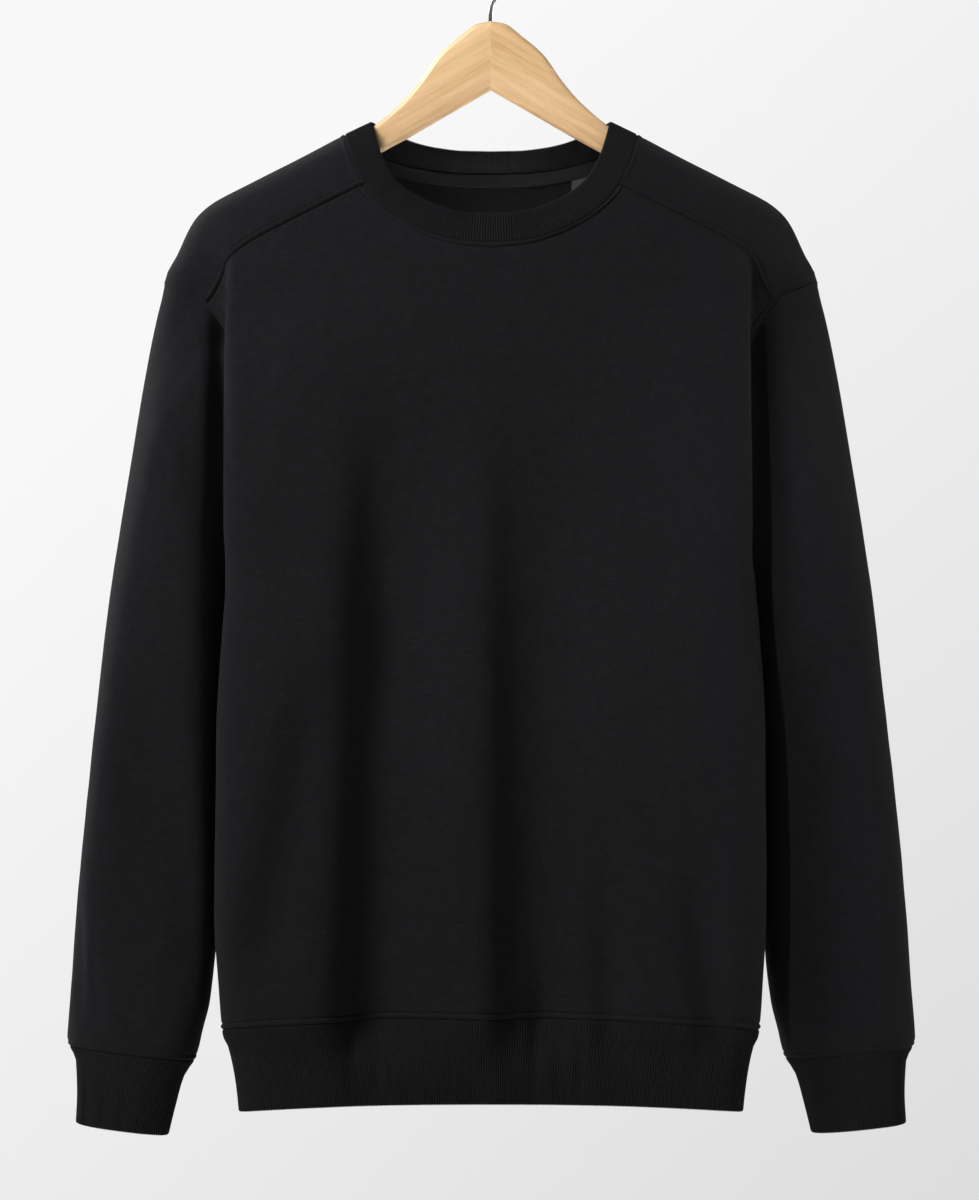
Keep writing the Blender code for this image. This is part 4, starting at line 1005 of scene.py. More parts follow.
def ring_angles():
    """Signed angles round a sleeve from the armpit over the front, the shoulder tip and the back."""
    return np.concatenate((FRONT_ANGLES, WRAP_ANGLES[::-1][1:], -BACK_ANGLES[::-1][1:-1]))


def sleeve_rings(sections, parts):
    """The table of rings read at these shares of the way down the sleeve, one column each."""
    table = columns(SLEEVE_COLUMNS, sections)
    x = (table["outer_x"] + table["inner_x"]) / 2
    height = (table["outer_height"] + table["inner_height"]) / 2
    run = np.concatenate(([0], np.cumsum(np.hypot(np.diff(x), np.diff(height)))))
    return {name: smooth_through(run, values, parts * run[-1])[:, None] for name, values in table.items()}


def trough_depth(way, degrees, height):
    total = np.zeros_like(height)
    for trough in SLEEVE_TROUGHS:
        if trough["side"] != way:
            continue
        down = np.clip((trough["top"] - height) / (trough["top"] - trough["bottom"]), 0, 1)
        centre = trough["angle_top"] + (trough["angle_bottom"] - trough["angle_top"]) * down
        off = (degrees - centre) / trough["width"]
        total += trough["depth"] * np.sin(math.pi * down) * np.exp(-(off**2))
    return total


def sleeve_points(way, ring, angles):
    """Points on a sleeve's rings; the angle is 0 on the outside and a quarter turn at the front."""
    power = 2 / ring["squareness"]
    forward = signed_power(np.sin(angles), power)
    outward = signed_power(np.cos(angles), power)
    middle_x = way * (ring["outer_x"] + ring["inner_x"]) / 2
    middle_y = ring["centre_y"]
    middle_z = (ring["outer_height"] + ring["inner_height"]) / 2
    share = soft_step((SHIFT_START - middle_z) / (SHIFT_START - SHIFT_END))
    middle_x = middle_x + way * SLEEVE_OUT_SHIFT * share
    if way == RIGHT:
        middle_y = middle_y + RIGHT_SLEEVE_BACK_SHIFT * share
    off_x = way * (ring["outer_x"] - ring["inner_x"]) / 2 * outward
    off_y = -ring["half_depth"] * forward
    if way == LEFT:
        turned = LEFT_SLEEVE_TURN * soft_step((TURN_START - middle_z) / (TURN_START - TURN_END))
        off_y = off_y + turned * (ring["outer_x"] - ring["inner_x"]) / 2 * outward
    off_z = (ring["outer_height"] - ring["inner_height"]) / 2 * outward
    offset = np.stack(np.broadcast_arrays(off_x, off_y, off_z), axis=-1)
    middle = np.stack(np.broadcast_arrays(middle_x, middle_y, middle_z), axis=-1)
    places = middle + offset
    push = trough_depth(way, np.degrees(np.broadcast_to(angles, places.shape[:2])), places[..., 2])
    flat = places.reshape(-1, 3)
    wave = soft_step((WAVE_TOP - WAVE_FADE - flat[:, 2]) / WAVE_FADE)
    push = push - (uneven(*flat.T, SLEEVE_WAVE_SEED * way) * wave).reshape(push.shape)
    return places - unit(offset) * push[..., None]


def crease_depth(way, places, angles, from_seam):
    """How far back the crease beside the body pushes the sleeve's front."""
    height = places[..., 2]
    top, bottom = CREASE_AT[way]
    centre = top + (bottom - top) * np.clip((CREASE_TOP - height) / (CREASE_TOP - CREASE_BOTTOM), 0, 1)
    begins = soft_step((CREASE_TOP - height) / CREASE_FADE)
    share = begins * soft_step((height - CREASE_BOTTOM) / CREASE_FADE_LOW)
    across = np.abs(way * places[..., 0] - centre) / CREASE_WIDTH
    facing_front = soft_step(CREASE_FRONT_SHARPNESS * np.sin(angles))
    past_seam = soft_step(from_seam / CREASE_FROM_SEAM)
    return CREASE_DEPTH * share * facing_front * past_seam * np.exp(-(across**3))


def armhole_ring(way):
    """The armhole seam's points in the order of ring_angles."""
    front = armhole_places(FRONT, np.concatenate((FRONT_ANGLES[1:], WRAP_ANGLES[::-1][1:-1])))
    back = armhole_places(BACK, BACK_ANGLES[::-1])
    front_points = torso_points(FRONT, way * front[:, 0], front[:, 1])
    back_points = torso_points(BACK, way * back[:, 0], back[:, 1])
    return np.concatenate((back_points[-1:], front_points, back_points[:-1]))


def make_sleeve(name, way):
    piece = Cloth(name, CLOTH_THICKNESS)
    head = SLEEVE_PARTS_HEAD
    parts = np.concatenate((head[head < 0.5], 1 - head[head <= 0.5][::-1]))
    angles = ring_angles()
    rings = sleeve_rings(SLEEVE_SECTIONS, parts)
    grid = sleeve_points(way, rings, angles)
    seam = armhole_ring(way)
    pull = (seam - grid[0])[None] * rings["seam_pull"][..., None]
    grid = grid + pull
    grid[0] = seam
    grid[..., 1] += crease_depth(way, grid, angles, border_run(grid))
    relief = strongest(
        seam_relief(border_run(grid), SLEEVE_HEAD_RIDGE),
        seam_relief(border_run(grid[::-1]), CUFF_RIDGE, CUFF_ROLL_SHARE)[::-1],
    )
    piece.add_block(grid, relief, closed=True, flip=way == RIGHT)
    piece.weld()
    return piece


# ---------------------------------------------------------------- rib bands


class Band:
    """A rib band: a ring of rows from its seam to its folded free edge, and back up inside."""

    def __init__(self, name, rows, flip):
        self.name = name
        self.rows = rows
        self.flip = flip
        self.rib_count = round(self.length() / RIB_PITCH)
        self.facing = grid_facing(rows, flip)

    def length(self):
        middle = self.rows[len(self.rows) // 2]
        return float(np.linalg.norm(middle - np.roll(middle, 1, axis=0), axis=1).sum())

    def build(self, shared):
        """Points of the closed band, with its ribs in relief on both faces."""
        rows = self.rows
        facing = self.facing
        seam_facing = np.array([shared.get((self.name, k), facing[0, k]) for k in range(rows.shape[1])])
        slant = np.maximum((seam_facing * facing[0]).sum(axis=1), THINNEST_MITRE)
        down = unit(rows[-1] - rows[-2])
        away = unit(rows[1] - rows[0])
        half = RIB_THICKNESS / 2
        from_seam = border_run(rows)
        roll = -RIB_SEAM_ROLL * np.clip(1 - from_seam / RIB_SEAM_REACH, 0, 1) ** 2
        rib = rib_wave(rows.shape[1], self.rib_count)
        fade = soft_step(from_seam / RIB_SEAM_REACH)
        height = (roll + RIB_RELIEF * rib * fade)[..., None]
        outer = rows + facing * height
        outer[0] = rows[0] + away * SEAM_GAP / 2 + seam_facing * height[0]
        inner = rows - facing * (RIB_THICKNESS + RIB_RELIEF * (rib * fade)[..., None])
        inner[0] = rows[0] + away * SEAM_GAP / 2 - seam_facing * (RIB_THICKNESS / slant)[:, None]
        outer[-1] -= down * half
        inner[-1] -= down * half
        centre = rows[-1] - facing[-1] * half - down * half
        fold = []
        for turn in np.linspace(0, math.pi, RIB_EDGE_STEPS + 2)[1:-1]:
            reach = half + RIB_RELIEF * rib[:, None]
            fold.append(centre + (facing[-1] * math.cos(turn) + down * math.sin(turn)) * reach)
        inside = list(inner[::-1][::INSIDE_ROW_STEP])
        if len(inner) % INSIDE_ROW_STEP != 1:
            inside.append(inner[0])
        return np.array(list(outer) + fold + inside)


def rib_wave(column_count, rib_count):
    phase = np.arange(column_count) * rib_count / column_count
    return np.cos(2 * math.pi * phase)


def grid_facing(rows, flip):
    """The facing of each point of a closed grid."""
    across = np.roll(rows, -1, axis=1) - np.roll(rows, 1, axis=1)
    along = np.gradient(rows, axis=0)
    facing = unit(np.cross(across, along))
    return -facing if flip else facing


def fine_angles(count):
    """Angles round a cuff, evenly spaced along its outline."""
    ring = {name: values[-1:] for name, values in sleeve_rings(CUFF_SECTIONS, np.array((0.0, 0.5))).items()}
    turn = np.linspace(math.pi, -math.pi, CUFF_TURN_STEPS)
    places = sleeve_points(LEFT, ring, turn)[0]
    run = run_along(places)
    return np.interp(np.arange(count) / count * run[-1], run, turn), run[-1]


def make_cuff(name, way):
    _, around = fine_angles(8)
    angles, _ = fine_angles(round(around / RIB_PITCH) * POINTS_PER_RIB)
    rings = sleeve_rings(CUFF_SECTIONS, BAND_PARTS)
    return Band(name, sleeve_points(way, rings, angles), flip=way == RIGHT)


def even_hem(side, count):
    """Across values on one side of the hem, evenly spaced along it, from left to right."""
    values = np.linspace(-1, 1, HEM_STEPS)
    places = torso_points(side, values, hem_seam_height(side, values))
    run = run_along(places)
    return np.interp(np.arange(count) / count * run[-1], run, values), run[-1]


def make_hem_rib():
    count = {side: round(even_hem(side, 2)[1] / RIB_PITCH) * POINTS_PER_RIB for side in (FRONT, BACK)}
    front = even_hem(FRONT, count[FRONT])[0]
    back = -even_hem(BACK, count[BACK])[0]
    rows = []
    for part in BAND_PARTS:
        row = []
        for side, values in ((FRONT, front), (BACK, back)):
            towards_side = np.abs(values) ** HEM_SEAM_POWER
            rib_height = HEM_RIB_HEIGHT_MIDDLE + (HEM_RIB_HEIGHT_SIDE - HEM_RIB_HEIGHT_MIDDLE) * towards_side
            row.append(torso_points(side, values, hem_seam_height(side, values) - part * rib_height))
        rows.append(np.concatenate(row))
    return Band("hem_rib", np.array(rows), flip=True)


def neck_ring():
    """The whole neck seam, finely: the front from left to right, then round the back."""
    values = np.linspace(-1, 1, NECK_RING_STEPS)
    front = torso_points(FRONT, *neck_places(FRONT, front_neck_half(), values))
    steps = np.linspace(0, 1, NECK_WRAP_STEPS)
    seam = np.array(NECK_SEAM_FRONT)
    heights = seam[0, 1] + (FORWARD_SEAM[-1][1] - seam[0, 1]) * steps
    wrap_across = across_at_x(FRONT, smooth_through(seam[:, 1], seam[:, 0], heights), heights)
    wrap_across[0] = 1.0
    right = torso_points(FRONT, wrap_across[-2:0:-1], heights[-2:0:-1])
    back_across, back_height = neck_places(BACK, NECK_SEAM_BACK, values[::-1])
    back = torso_points(BACK, back_across, back_height)
    left = torso_points(FRONT, -wrap_across[1:-1], heights[1:-1])
    return np.concatenate((front, right, back, left))


def even_ring(places, count):
    """A closed line's points, evenly spaced."""
    closed = np.concatenate((places, places[:1]))
    run = run_along(closed)
    return read_line(closed, np.arange(count) / count * run[-1], run), run[-1]


def band_ways(seam):
    """Direction of the neckband at each point of its seam: the front goes on in the panel's own plane, square
    to the seam, and the back leans in towards the neck's centre."""
    widest, deepest = np.max(seam, axis=0)[:2]
    ahead = np.roll(seam, -NECK_RIB_SLOPE_REACH, axis=0)
    behind = np.roll(seam, NECK_RIB_SLOPE_REACH, axis=0)
    along = unit((ahead - behind)[:, [0, 2]])
    rise = NECK_RIB_RISE_SHOULDER * soft_step(1 + (seam[:, 2] - seam[:, 2].max()) / NECK_RIB_RISE_REACH)
    square = unit(np.column_stack((-along[:, 1], along[:, 0] + rise)))
    lean = NECK_RIB_LEAN_FRONT * np.maximum(square[:, 1], 0)
    front = np.column_stack((square[:, 0] * np.cos(lean), np.sin(lean), square[:, 1] * np.cos(lean)))
    across = -math.sin(NECK_RIB_LEAN_SHOULDER) * seam[:, 0] / widest
    forward = -math.sin(NECK_RIB_LEAN_BACK) * np.abs(seam[:, 1] / deepest) ** NECK_RIB_LEAN_POWER
    back = np.column_stack((across, forward, np.sqrt(np.maximum(1 - across**2 - forward**2, 0))))
    ways = np.where(seam[:, 1:2] < 0, front, back)
    window = np.hanning(2 * NECK_RIB_SMOOTHING + 1)
    window = window / window.sum()
    wrapped = np.concatenate((ways[-NECK_RIB_SMOOTHING:], ways, ways[:NECK_RIB_SMOOTHING]))
    return unit(np.column_stack([np.convolve(wrapped[:, k], window, mode="valid") for k in range(3)]))


def make_neck_rib():
    seam = neck_ring()
    _, around = even_ring(seam, 8)
    seam, _ = even_ring(seam, round(around / RIB_PITCH) * NECK_POINTS_PER_RIB)
    ways = band_ways(seam)
    rows = np.array([seam + ways * NECK_RIB_WIDTH * part for part in NECK_RIB_PARTS])
    return Band("neck_rib", rows, flip=False)


# ---------------------------------------------------------------- tape and label


def inside_back(x, height, depth):
    """Points this far inside the back's outer face, at these x and heights."""
    step = INSIDE_SLOPE_STEP
    flat_height = height.ravel()
    across = across_at_x(BACK, x.ravel(), flat_height).reshape(x.shape)
    here = torso_points(BACK, across, height)
    sideways = torso_points(BACK, across + step, height) - torso_points(BACK, across - step, height)
    upward = torso_points(BACK, across, height + step) - torso_points(BACK, across, height - step)
    return here - unit(np.cross(upward, sideways)) * depth


def neck_height_at(x):
    seam = np.array(NECK_SEAM_BACK)
    return smooth_through(seam[:, 0], seam[:, 1], np.abs(x))


def make_strip(thickness, x_values, top, length, down_parts):
    """A thin strip laid inside the back, its long edges rounded off."""
    x = np.broadcast_to(x_values, (len(down_parts), len(x_values)))
    height = neck_height_at(x) - top - length * down_parts[:, None]
    lay = CLOTH_THICKNESS + LAID_GAP
    edge_rounding = thickness * STRIP_ROUNDING_SHARE
    near_edge = np.minimum(down_parts, 1 - down_parts)[:, None] * length
    thin = edge_rounding * np.clip(1 - near_edge / edge_rounding, 0, 1) ** 2
    outer = inside_back(x, height, lay + np.broadcast_to(thin, x.shape)[..., None])
    inner = inside_back(x, height, lay + thickness - np.broadcast_to(thin, x.shape)[..., None])
    rows, cols = x.shape
    index = np.arange(rows * cols).reshape(rows, cols)
    outer_cells = block_cells(index)
    cells = [outer_cells, outer_cells[:, ::-1] + rows * cols]
    ring = np.concatenate((index[0, :-1], index[:-1, -1], index[-1, :0:-1], index[:0:-1, 0]))
    after = np.roll(ring, -1)
    cells.append(np.column_stack((ring, ring + rows * cols, after + rows * cols, after)))
    flat = np.stack((x, height), axis=-1).reshape(-1, 2)
    places = np.vstack((outer.reshape(-1, 3), inner.reshape(-1, 3)))
    cells = np.concatenate(cells)
    return places, cells, np.vstack((flat, flat))[cells]


def block_cells(index):
    return np.stack((index[:-1, :-1], index[:-1, 1:], index[1:, 1:], index[1:, :-1]), axis=-1).reshape(-1, 4)


# ---------------------------------------------------------------- stitches


def stitch_ends(line, facing):
    """Start, end and facing of each stitch along a line."""
    run = run_along(line)
    count = max(int(run[-1] / STITCH_PITCH), 1)
    pitch = run[-1] / count
    starts = (np.arange(count) + 0.5) * pitch - STITCH_LENGTH / 2
    first = read_line(line, starts, run)
    last = read_line(line, starts + STITCH_LENGTH, run)
    return first, last, unit(read_line(facing, starts + STITCH_LENGTH / 2, run))


def stitch_mesh(lines):
    """Small threads lying half sunk in the cloth: rings of points along each stitch."""
    ends = [stitch_ends(line, facing) for line, facing in lines]
    first = np.concatenate([row[0] for row in ends])
    last = np.concatenate([row[1] for row in ends])
    facing = np.concatenate([row[2] for row in ends])
    along = unit(last - first)
    side = unit(np.cross(along, facing))
    lift = np.cross(side, along)
    rings = []
    for part, size, rise in STITCH_PROFILE:
        centre = first + (last - first) * part + lift * (rise * STITCH_RADIUS - STITCH_SINK)
        for k in range(STITCH_SIDES):
            turn = 2 * math.pi * k / STITCH_SIDES
            reach = (side * math.cos(turn) + lift * math.sin(turn)) * STITCH_RADIUS * size
            rings.append(centre + reach)
    per_stitch = len(STITCH_PROFILE) * STITCH_SIDES
    places = np.stack(rings, axis=1).reshape(-1, 3)
    base = np.arange(len(first))[:, None] * per_stitch
    cells = []
    for ring in range(len(STITCH_PROFILE) - 1):
        for k in range(STITCH_SIDES):
            n = (k + 1) % STITCH_SIDES
            low, high = ring * STITCH_SIDES, (ring + 1) * STITCH_SIDES
            cells.append(base + np.array((low + k, high + k, high + n, low + n)))
    cells += [base + np.array((0, 1, 2, 3)), base + np.array((0, 3, 4, 5))]
    top = (len(STITCH_PROFILE) - 1) * STITCH_SIDES
    cells += [base + top + np.array((3, 2, 1, 0)), base + top + np.array((5, 4, 3, 0))]
    return places, np.concatenate(cells)


def panel_lines(piece, block):
    """The stitch lines beside a panel's hem, armholes and neck."""
    grid, facing = piece.outer_grid(block)
    side_count = len(SIDE_PARTS)
    seam_count = len(ALONG_FORWARD_SEAM) - 1
    arm = slice(side_count, len(grid) - seam_count)
    turned, turned_facing = grid.transpose(1, 0, 2), facing.transpose(1, 0, 2)
    left = beside_border(turned[:, arm], turned_facing[:, arm], STITCH_DISTANCE)
    right = beside_border(turned[::-1][:, arm], turned_facing[::-1][:, arm], STITCH_DISTANCE)
    hem = beside_border(grid, facing, STITCH_DISTANCE)
    neck = beside_border(grid[::-1], facing[::-1], STITCH_DISTANCE)
    return {"armhole": [left, right], "hem": [hem], "neck": [neck]}


def wrap_lines(piece, block):
    """The stitch lines beside a shoulder wrap's forward seam, armhole and neck."""
    grid, facing = piece.outer_grid(block)
    turned, turned_facing = grid.transpose(1, 0, 2), facing.transpose(1, 0, 2)
    seam = beside_border(grid[::-1], facing[::-1], STITCH_DISTANCE)
    armhole = beside_border(turned, turned_facing, STITCH_DISTANCE)
    neck = beside_border(turned[::-1], turned_facing[::-1], STITCH_DISTANCE)
    return {"armhole": [armhole], "forward": [seam], "neck": [neck]}


# ---------------------------------------------------------------- hanger and hook


def crest_height(x):
    """Height of the hanger's top edge: just under the cloth, and under the neckband beside the neck."""
    neck_x = TORSO_SECTIONS[0][1]
    line_x = torso_value("half_width", np.array(SHOULDER_LINE_HEIGHTS[::-1]))
    line = np.interp(x, line_x, SHOULDER_LINE_HEIGHTS[::-1])
    near, far = SHOULDER_LINE_HEIGHTS[-1], SHOULDER_LINE_HEIGHTS[-4]
    slope = math.atan2(near - far, float(torso_value("half_width", far)) - neck_x)
    if x < neck_x:
        line = near + (neck_x - x) * math.tan(math.pi / 2 - NECK_RIB_LEAN_SHOULDER)
    if x < neck_x + RIB_THICKNESS:
        return line - (RIB_THICKNESS + NECKBAND_CLEARANCE) / math.cos(slope)
    return line - (CLOTH_THICKNESS + CREST_CLEARANCE) / math.cos(slope)


def hanger_outline():
    """The right half's outline seen from the front, from the joint's foot round to the joint's head."""
    outline = [(JOINT_GAP / 2, HANGER_VEE[0][1]), HANGER_VEE[1]]
    for x in (HANGER_ARM_START, HANGER_END - HANGER_END_RADIUS):
        outline.append((x, crest_height(x) - HANGER_ARM_HEIGHT))
    end_x = HANGER_END - HANGER_END_RADIUS
    low = crest_height(end_x) - HANGER_ARM_HEIGHT
    high = crest_height(end_x)
    middle = (low + high) / 2
    for angle in np.linspace(-math.pi / 2, math.pi / 2, HANGER_END_POINTS)[1:-1]:
        reach = HANGER_END_RADIUS * math.cos(angle)
        outline.append((end_x + reach, middle + (high - low) / 2 * math.sin(angle) - reach / 4))
    neck_x = TORSO_SECTIONS[0][1]
    for x in (end_x, neck_x + 2 * RIB_THICKNESS, neck_x, HANGER_ARM_START):
        outline.append((x, crest_height(x)))
    top = np.array(HANGER_TOP)
    for x in np.linspace(top[-1, 0], JOINT_GAP / 2, HANGER_TOP_POINTS):
        outline.append((x, float(smooth_through(top[:, 0], top[:, 1], x))))
    return outline


def inset_outline(outline, distance):
    """The half outline moved in by a distance, its two ends kept in the joint's plane."""
    corners = np.array(outline)
    inward = np.diff(corners, axis=0)
    inward = unit(np.column_stack((-inward[:, 1], inward[:, 0])))
    moved = corners.copy()
    moved[0, 1] += distance / inward[0, 1]
    moved[-1, 1] += distance / inward[-1, 1]
    for k in range(1, len(corners) - 1):
        between = inward[k - 1] + inward[k]
        moved[k] += between * distance / (1 + inward[k - 1].dot(inward[k]))
    return moved


def hanger_half(way):
    """Half of the hanger: its outline on several levels through the thickness, the long edges rounded."""
    half = HANGER_THICKNESS / 2
    levels = []
    for turn in np.linspace(0, math.pi / 2, HANGER_EDGE_SEGMENTS + 1):
        inset = HANGER_EDGE_ROUNDING * (1 - math.sin(turn))
        levels.append((inset, half - HANGER_EDGE_ROUNDING * (1 - math.cos(turn))))
    levels = [(inset, -y) for inset, y in levels] + [(inset, y) for inset, y in levels[::-1]]
    outline = hanger_outline()
    loops = []
    for inset, y in levels:
        corners = inset_outline(outline, inset)
        loops.append([(way * x, y, height) for x, height in corners])
    count = len(outline)
    faces = []
    for level in range(len(levels) - 1):
        for k in range(count):
            n = (k + 1) % count
            low, high = level * count, (level + 1) * count
            faces.append((low + k, low + n, high + n, high + k))
    faces.append(tuple(range(count))[::-1])
    faces.append(tuple(range((len(levels) - 1) * count, len(levels) * count)))
    if way == RIGHT:
        faces = [face[::-1] for face in faces]
    return [place for loop in loops for place in loop], faces


def hook_path():
    """Centre line of the wire in the hook's own frame, from the tip round to the end of the stem."""
    radius = HOOK_INNER_RADIUS + WIRE_RADIUS
    centre = -HOOK_INNER_RADIUS
    path = []
    for angle in np.linspace(HOOK_TIP_ANGLE, HOOK_TURN_ANGLE, HOOK_ARC_POINTS):
        path.append((radius * math.cos(angle), centre + radius * math.sin(angle)))
    start = np.array(path[-1])
    heading = np.array((math.sin(HOOK_TURN_ANGLE), -math.cos(HOOK_TURN_ANGLE)))
    end = np.array((0.0, -HOOK_NECK_HEIGHT - HOOK_INNER_RADIUS / 2))
    reach = HOOK_NECK_EASE * np.linalg.norm(end - start)
    handles = (start, start + heading * reach, end + np.array((0.0, reach)), end)
    for part in np.linspace(0, 1, HOOK_NECK_POINTS)[1:]:
        rest = 1 - part
        weights = (rest**3, 3 * rest**2 * part, 3 * rest * part**2, part**3)
        path.append(tuple(sum(weight * handle for weight, handle in zip(weights, handles))))
    path.append((0.0, HANGER_TOP[0][1] - HOOK_TO_SHOULDER - STEM_DEPTH))
    return np.array(path)


def wire_rings(path):
    """Centres, headings and radii of the wire's rings, with a rounded tip."""
    heading = unit(np.gradient(path, axis=0))
    turns = np.linspace(0, math.pi / 2, WIRE_TIP_STEPS)[:-1]
    centres = [path[0] + heading[0] * WIRE_RADIUS * (1 - math.cos(turn)) for turn in turns]
    radii = [WIRE_RADIUS * max(math.sin(turn), WIRE_TIP_FLAT) for turn in turns]
    headings = [heading[0]] * len(turns)
    centres = np.vstack((centres, path[1:]))
    headings = np.vstack((headings, heading[1:]))
    radii = np.concatenate((radii, np.full(len(path) - 1, WIRE_RADIUS)))
    return centres, headings, radii


def hook_mesh():
    centres, headings, radii = wire_rings(hook_path())
    turn = np.linspace(0, 2 * math.pi, WIRE_SIDES + 1)[:-1]
    across = np.column_stack((-headings[:, 1], headings[:, 0]))
    x = centres[:, 0:1] + across[:, 0:1] * radii[:, None] * np.cos(turn)
    z = centres[:, 1:2] + across[:, 1:2] * radii[:, None] * np.cos(turn)
    y = radii[:, None] * np.sin(turn)
    places = np.stack((x, y, z), axis=-1).reshape(-1, 3)
    ring_count = len(centres)
    faces = []
    for ring in range(ring_count - 1):
        for k in range(WIRE_SIDES):
            n = (k + 1) % WIRE_SIDES
            low, high = ring * WIRE_SIDES, (ring + 1) * WIRE_SIDES
            faces.append((low + k, high + k, high + n, low + n))
    faces.append(tuple(range(WIRE_SIDES)))
    faces.append(tuple(range((ring_count - 1) * WIRE_SIDES, ring_count * WIRE_SIDES))[::-1])
    return places.tolist(), faces


# ---------------------------------------------------------------- materials


class Nodes:
    """A material's nodes, added one at a time."""

    def __init__(self, name):
        self.material = bpy.data.materials.new(name)
        self.material.use_nodes = True
        self.tree = self.material.node_tree
        self.surface = self.tree.nodes["Principled BSDF"]

    def add(self, kind, links=(), **settings):
        node = self.tree.nodes.new(kind)
        for key, value in settings.items():
            if key in node.inputs:
                node.inputs[key].default_value = value
            else:
                setattr(node, key, value)
        for socket, source in links:
            self.tree.links.new(source, node.inputs[socket])
        return node

    def math(self, operation, first, second=None):
        node = self.tree.nodes.new("ShaderNodeMath")
        node.operation = operation
        for socket, value in zip(node.inputs, (first, second)):
            if isinstance(value, (int, float)):
                socket.default_value = value
            elif value is not None:
                self.tree.links.new(value, socket)
        return node.outputs[0]

    def space(self):
        return self.add("ShaderNodeTexCoord").outputs["Object"]

    def cut_parts(self):
        """Places across and up on the flat cut."""
        cut = self.add("ShaderNodeUVMap", uv_map="cut").outputs[0]
        return self.add("ShaderNodeSeparateXYZ", ((0, cut),)).outputs

    def grain(self, space, scale, detail, roughness=0.6):
        """Noise in a space that is stretched by the scale."""
        node = self.add("ShaderNodeTexNoise", ((0, self.stretched(space, scale)),))
        node.inputs["Scale"].default_value = 1.0
        node.inputs["Detail"].default_value = detail
        node.inputs["Roughness"].default_value = roughness
        return node.outputs["Fac"]

    def stretched(self, source, scale, turn=(0.0, 0.0, 0.0)):
        node = self.add("ShaderNodeMapping", ((0, source),))
        node.inputs["Scale"].default_value = scale
        node.inputs["Rotation"].default_value = turn
        return node.outputs[0]

    def ramp(self, source, stops):
        node = self.add("ShaderNodeValToRGB", ((0, source),))
        ramp = node.color_ramp
        ramp.elements[0].position, ramp.elements[0].color = stops[0][0], (*stops[0][1], 1.0)
        ramp.elements[1].position, ramp.elements[1].color = stops[-1][0], (*stops[-1][1], 1.0)
        for place, colour in stops[1:-1]:
            ramp.elements.new(place).color = (*colour, 1.0)
        return node.outputs["Color"]

    def bump(self, height, strength, distance, below=None):
        node = self.add("ShaderNodeBump", (("Height", height),))
        node.inputs["Strength"].default_value = strength
        node.inputs["Distance"].default_value = distance
        if below is not None:
            self.tree.links.new(below, node.inputs["Normal"])
        return node.outputs[0]

    def colour(self, source):
        self.tree.links.new(source, self.surface.inputs["Base Color"])

    def normal(self, source):
        self.tree.links.new(source, self.surface.inputs["Normal"])

    def roughness(self, source):
        self.tree.links.new(source, self.surface.inputs["Roughness"])

    def set(self, **values):
        for key, value in values.items():
            self.surface.inputs[key.replace("_", " ")].default_value = value


def cloth_base(name, sheen, sheen_roughness):
    nodes = Nodes(name)
    nodes.set(Roughness=CLOTH_ROUGHNESS, Specular_IOR_Level=0.08)
    nodes.set(Sheen_Weight=sheen, Sheen_Roughness=sheen_roughness, Sheen_Tint=CLOTH_SHEEN_TINT)
    return nodes


def jersey_material():
    """Black jersey: fine V-shaped knit stitches, a soft surface and slightly uneven dye."""
    nodes = cloth_base("black_jersey", 0.025, 0.50)
    across, up, _ = nodes.cut_parts()
    wale = nodes.math("DIVIDE", across, JERSEY_WALE)
    course = nodes.math("DIVIDE", up, JERSEY_COURSE)
    leg = nodes.math("PINGPONG", wale, 0.5)
    slant = nodes.math("ADD", course, nodes.math("MULTIPLY", leg, 1.3))
    loops = nodes.math("SINE", nodes.math("MULTIPLY", slant, 2 * math.pi))
    legs = nodes.math("ABSOLUTE", nodes.math("SINE", nodes.math("MULTIPLY", wale, 2 * math.pi)))
    knit = nodes.math("ADD", nodes.math("MULTIPLY", loops, 0.35), legs)
    space = nodes.space()
    speckle = nodes.grain(space, (900.0, 900.0, 620.0), 2.0)
    cloud = nodes.grain(space, (170.0, 170.0, 90.0), 3.0)
    streak = nodes.grain(space, (110.0, 110.0, 640.0), 2.0)
    blotch = nodes.math("ADD", nodes.math("MULTIPLY", cloud, 0.2), nodes.math("MULTIPLY", streak, 0.3))
    dye = nodes.math("ADD", nodes.math("MULTIPLY", speckle, 0.5), blotch)
    nodes.colour(nodes.ramp(dye, (
        (0.30, (0.0046, 0.0046, 0.0054)),
        (0.52, (0.0082, 0.0081, 0.0092)),
        (0.72, (0.0140, 0.0137, 0.0154)),
    )))
    fuzz = nodes.bump(speckle, 0.35, 0.0006)
    nodes.normal(nodes.bump(knit, 0.55, 0.00022, fuzz))
    return nodes.material


def fleece_material():
    """The brushed inside: no stitches show, only a soft matted nap."""
    nodes = cloth_base("brushed_inside", 0.02, 0.6)
    space = nodes.space()
    nap = nodes.grain(space, (420.0, 420.0, 420.0), 5.0, 0.7)
    tufts = nodes.grain(space, (120.0, 120.0, 120.0), 3.0)
    matted = nodes.math("ADD", nodes.math("MULTIPLY", nap, 0.5), nodes.math("MULTIPLY", tufts, 0.5))
    nodes.colour(nodes.ramp(matted, (
        (0.30, (0.0036, 0.0036, 0.0042)),
        (0.70, (0.0090, 0.0088, 0.0098)),
    )))
    nodes.normal(nodes.bump(nap, 0.7, 0.0009))
    return nodes.material


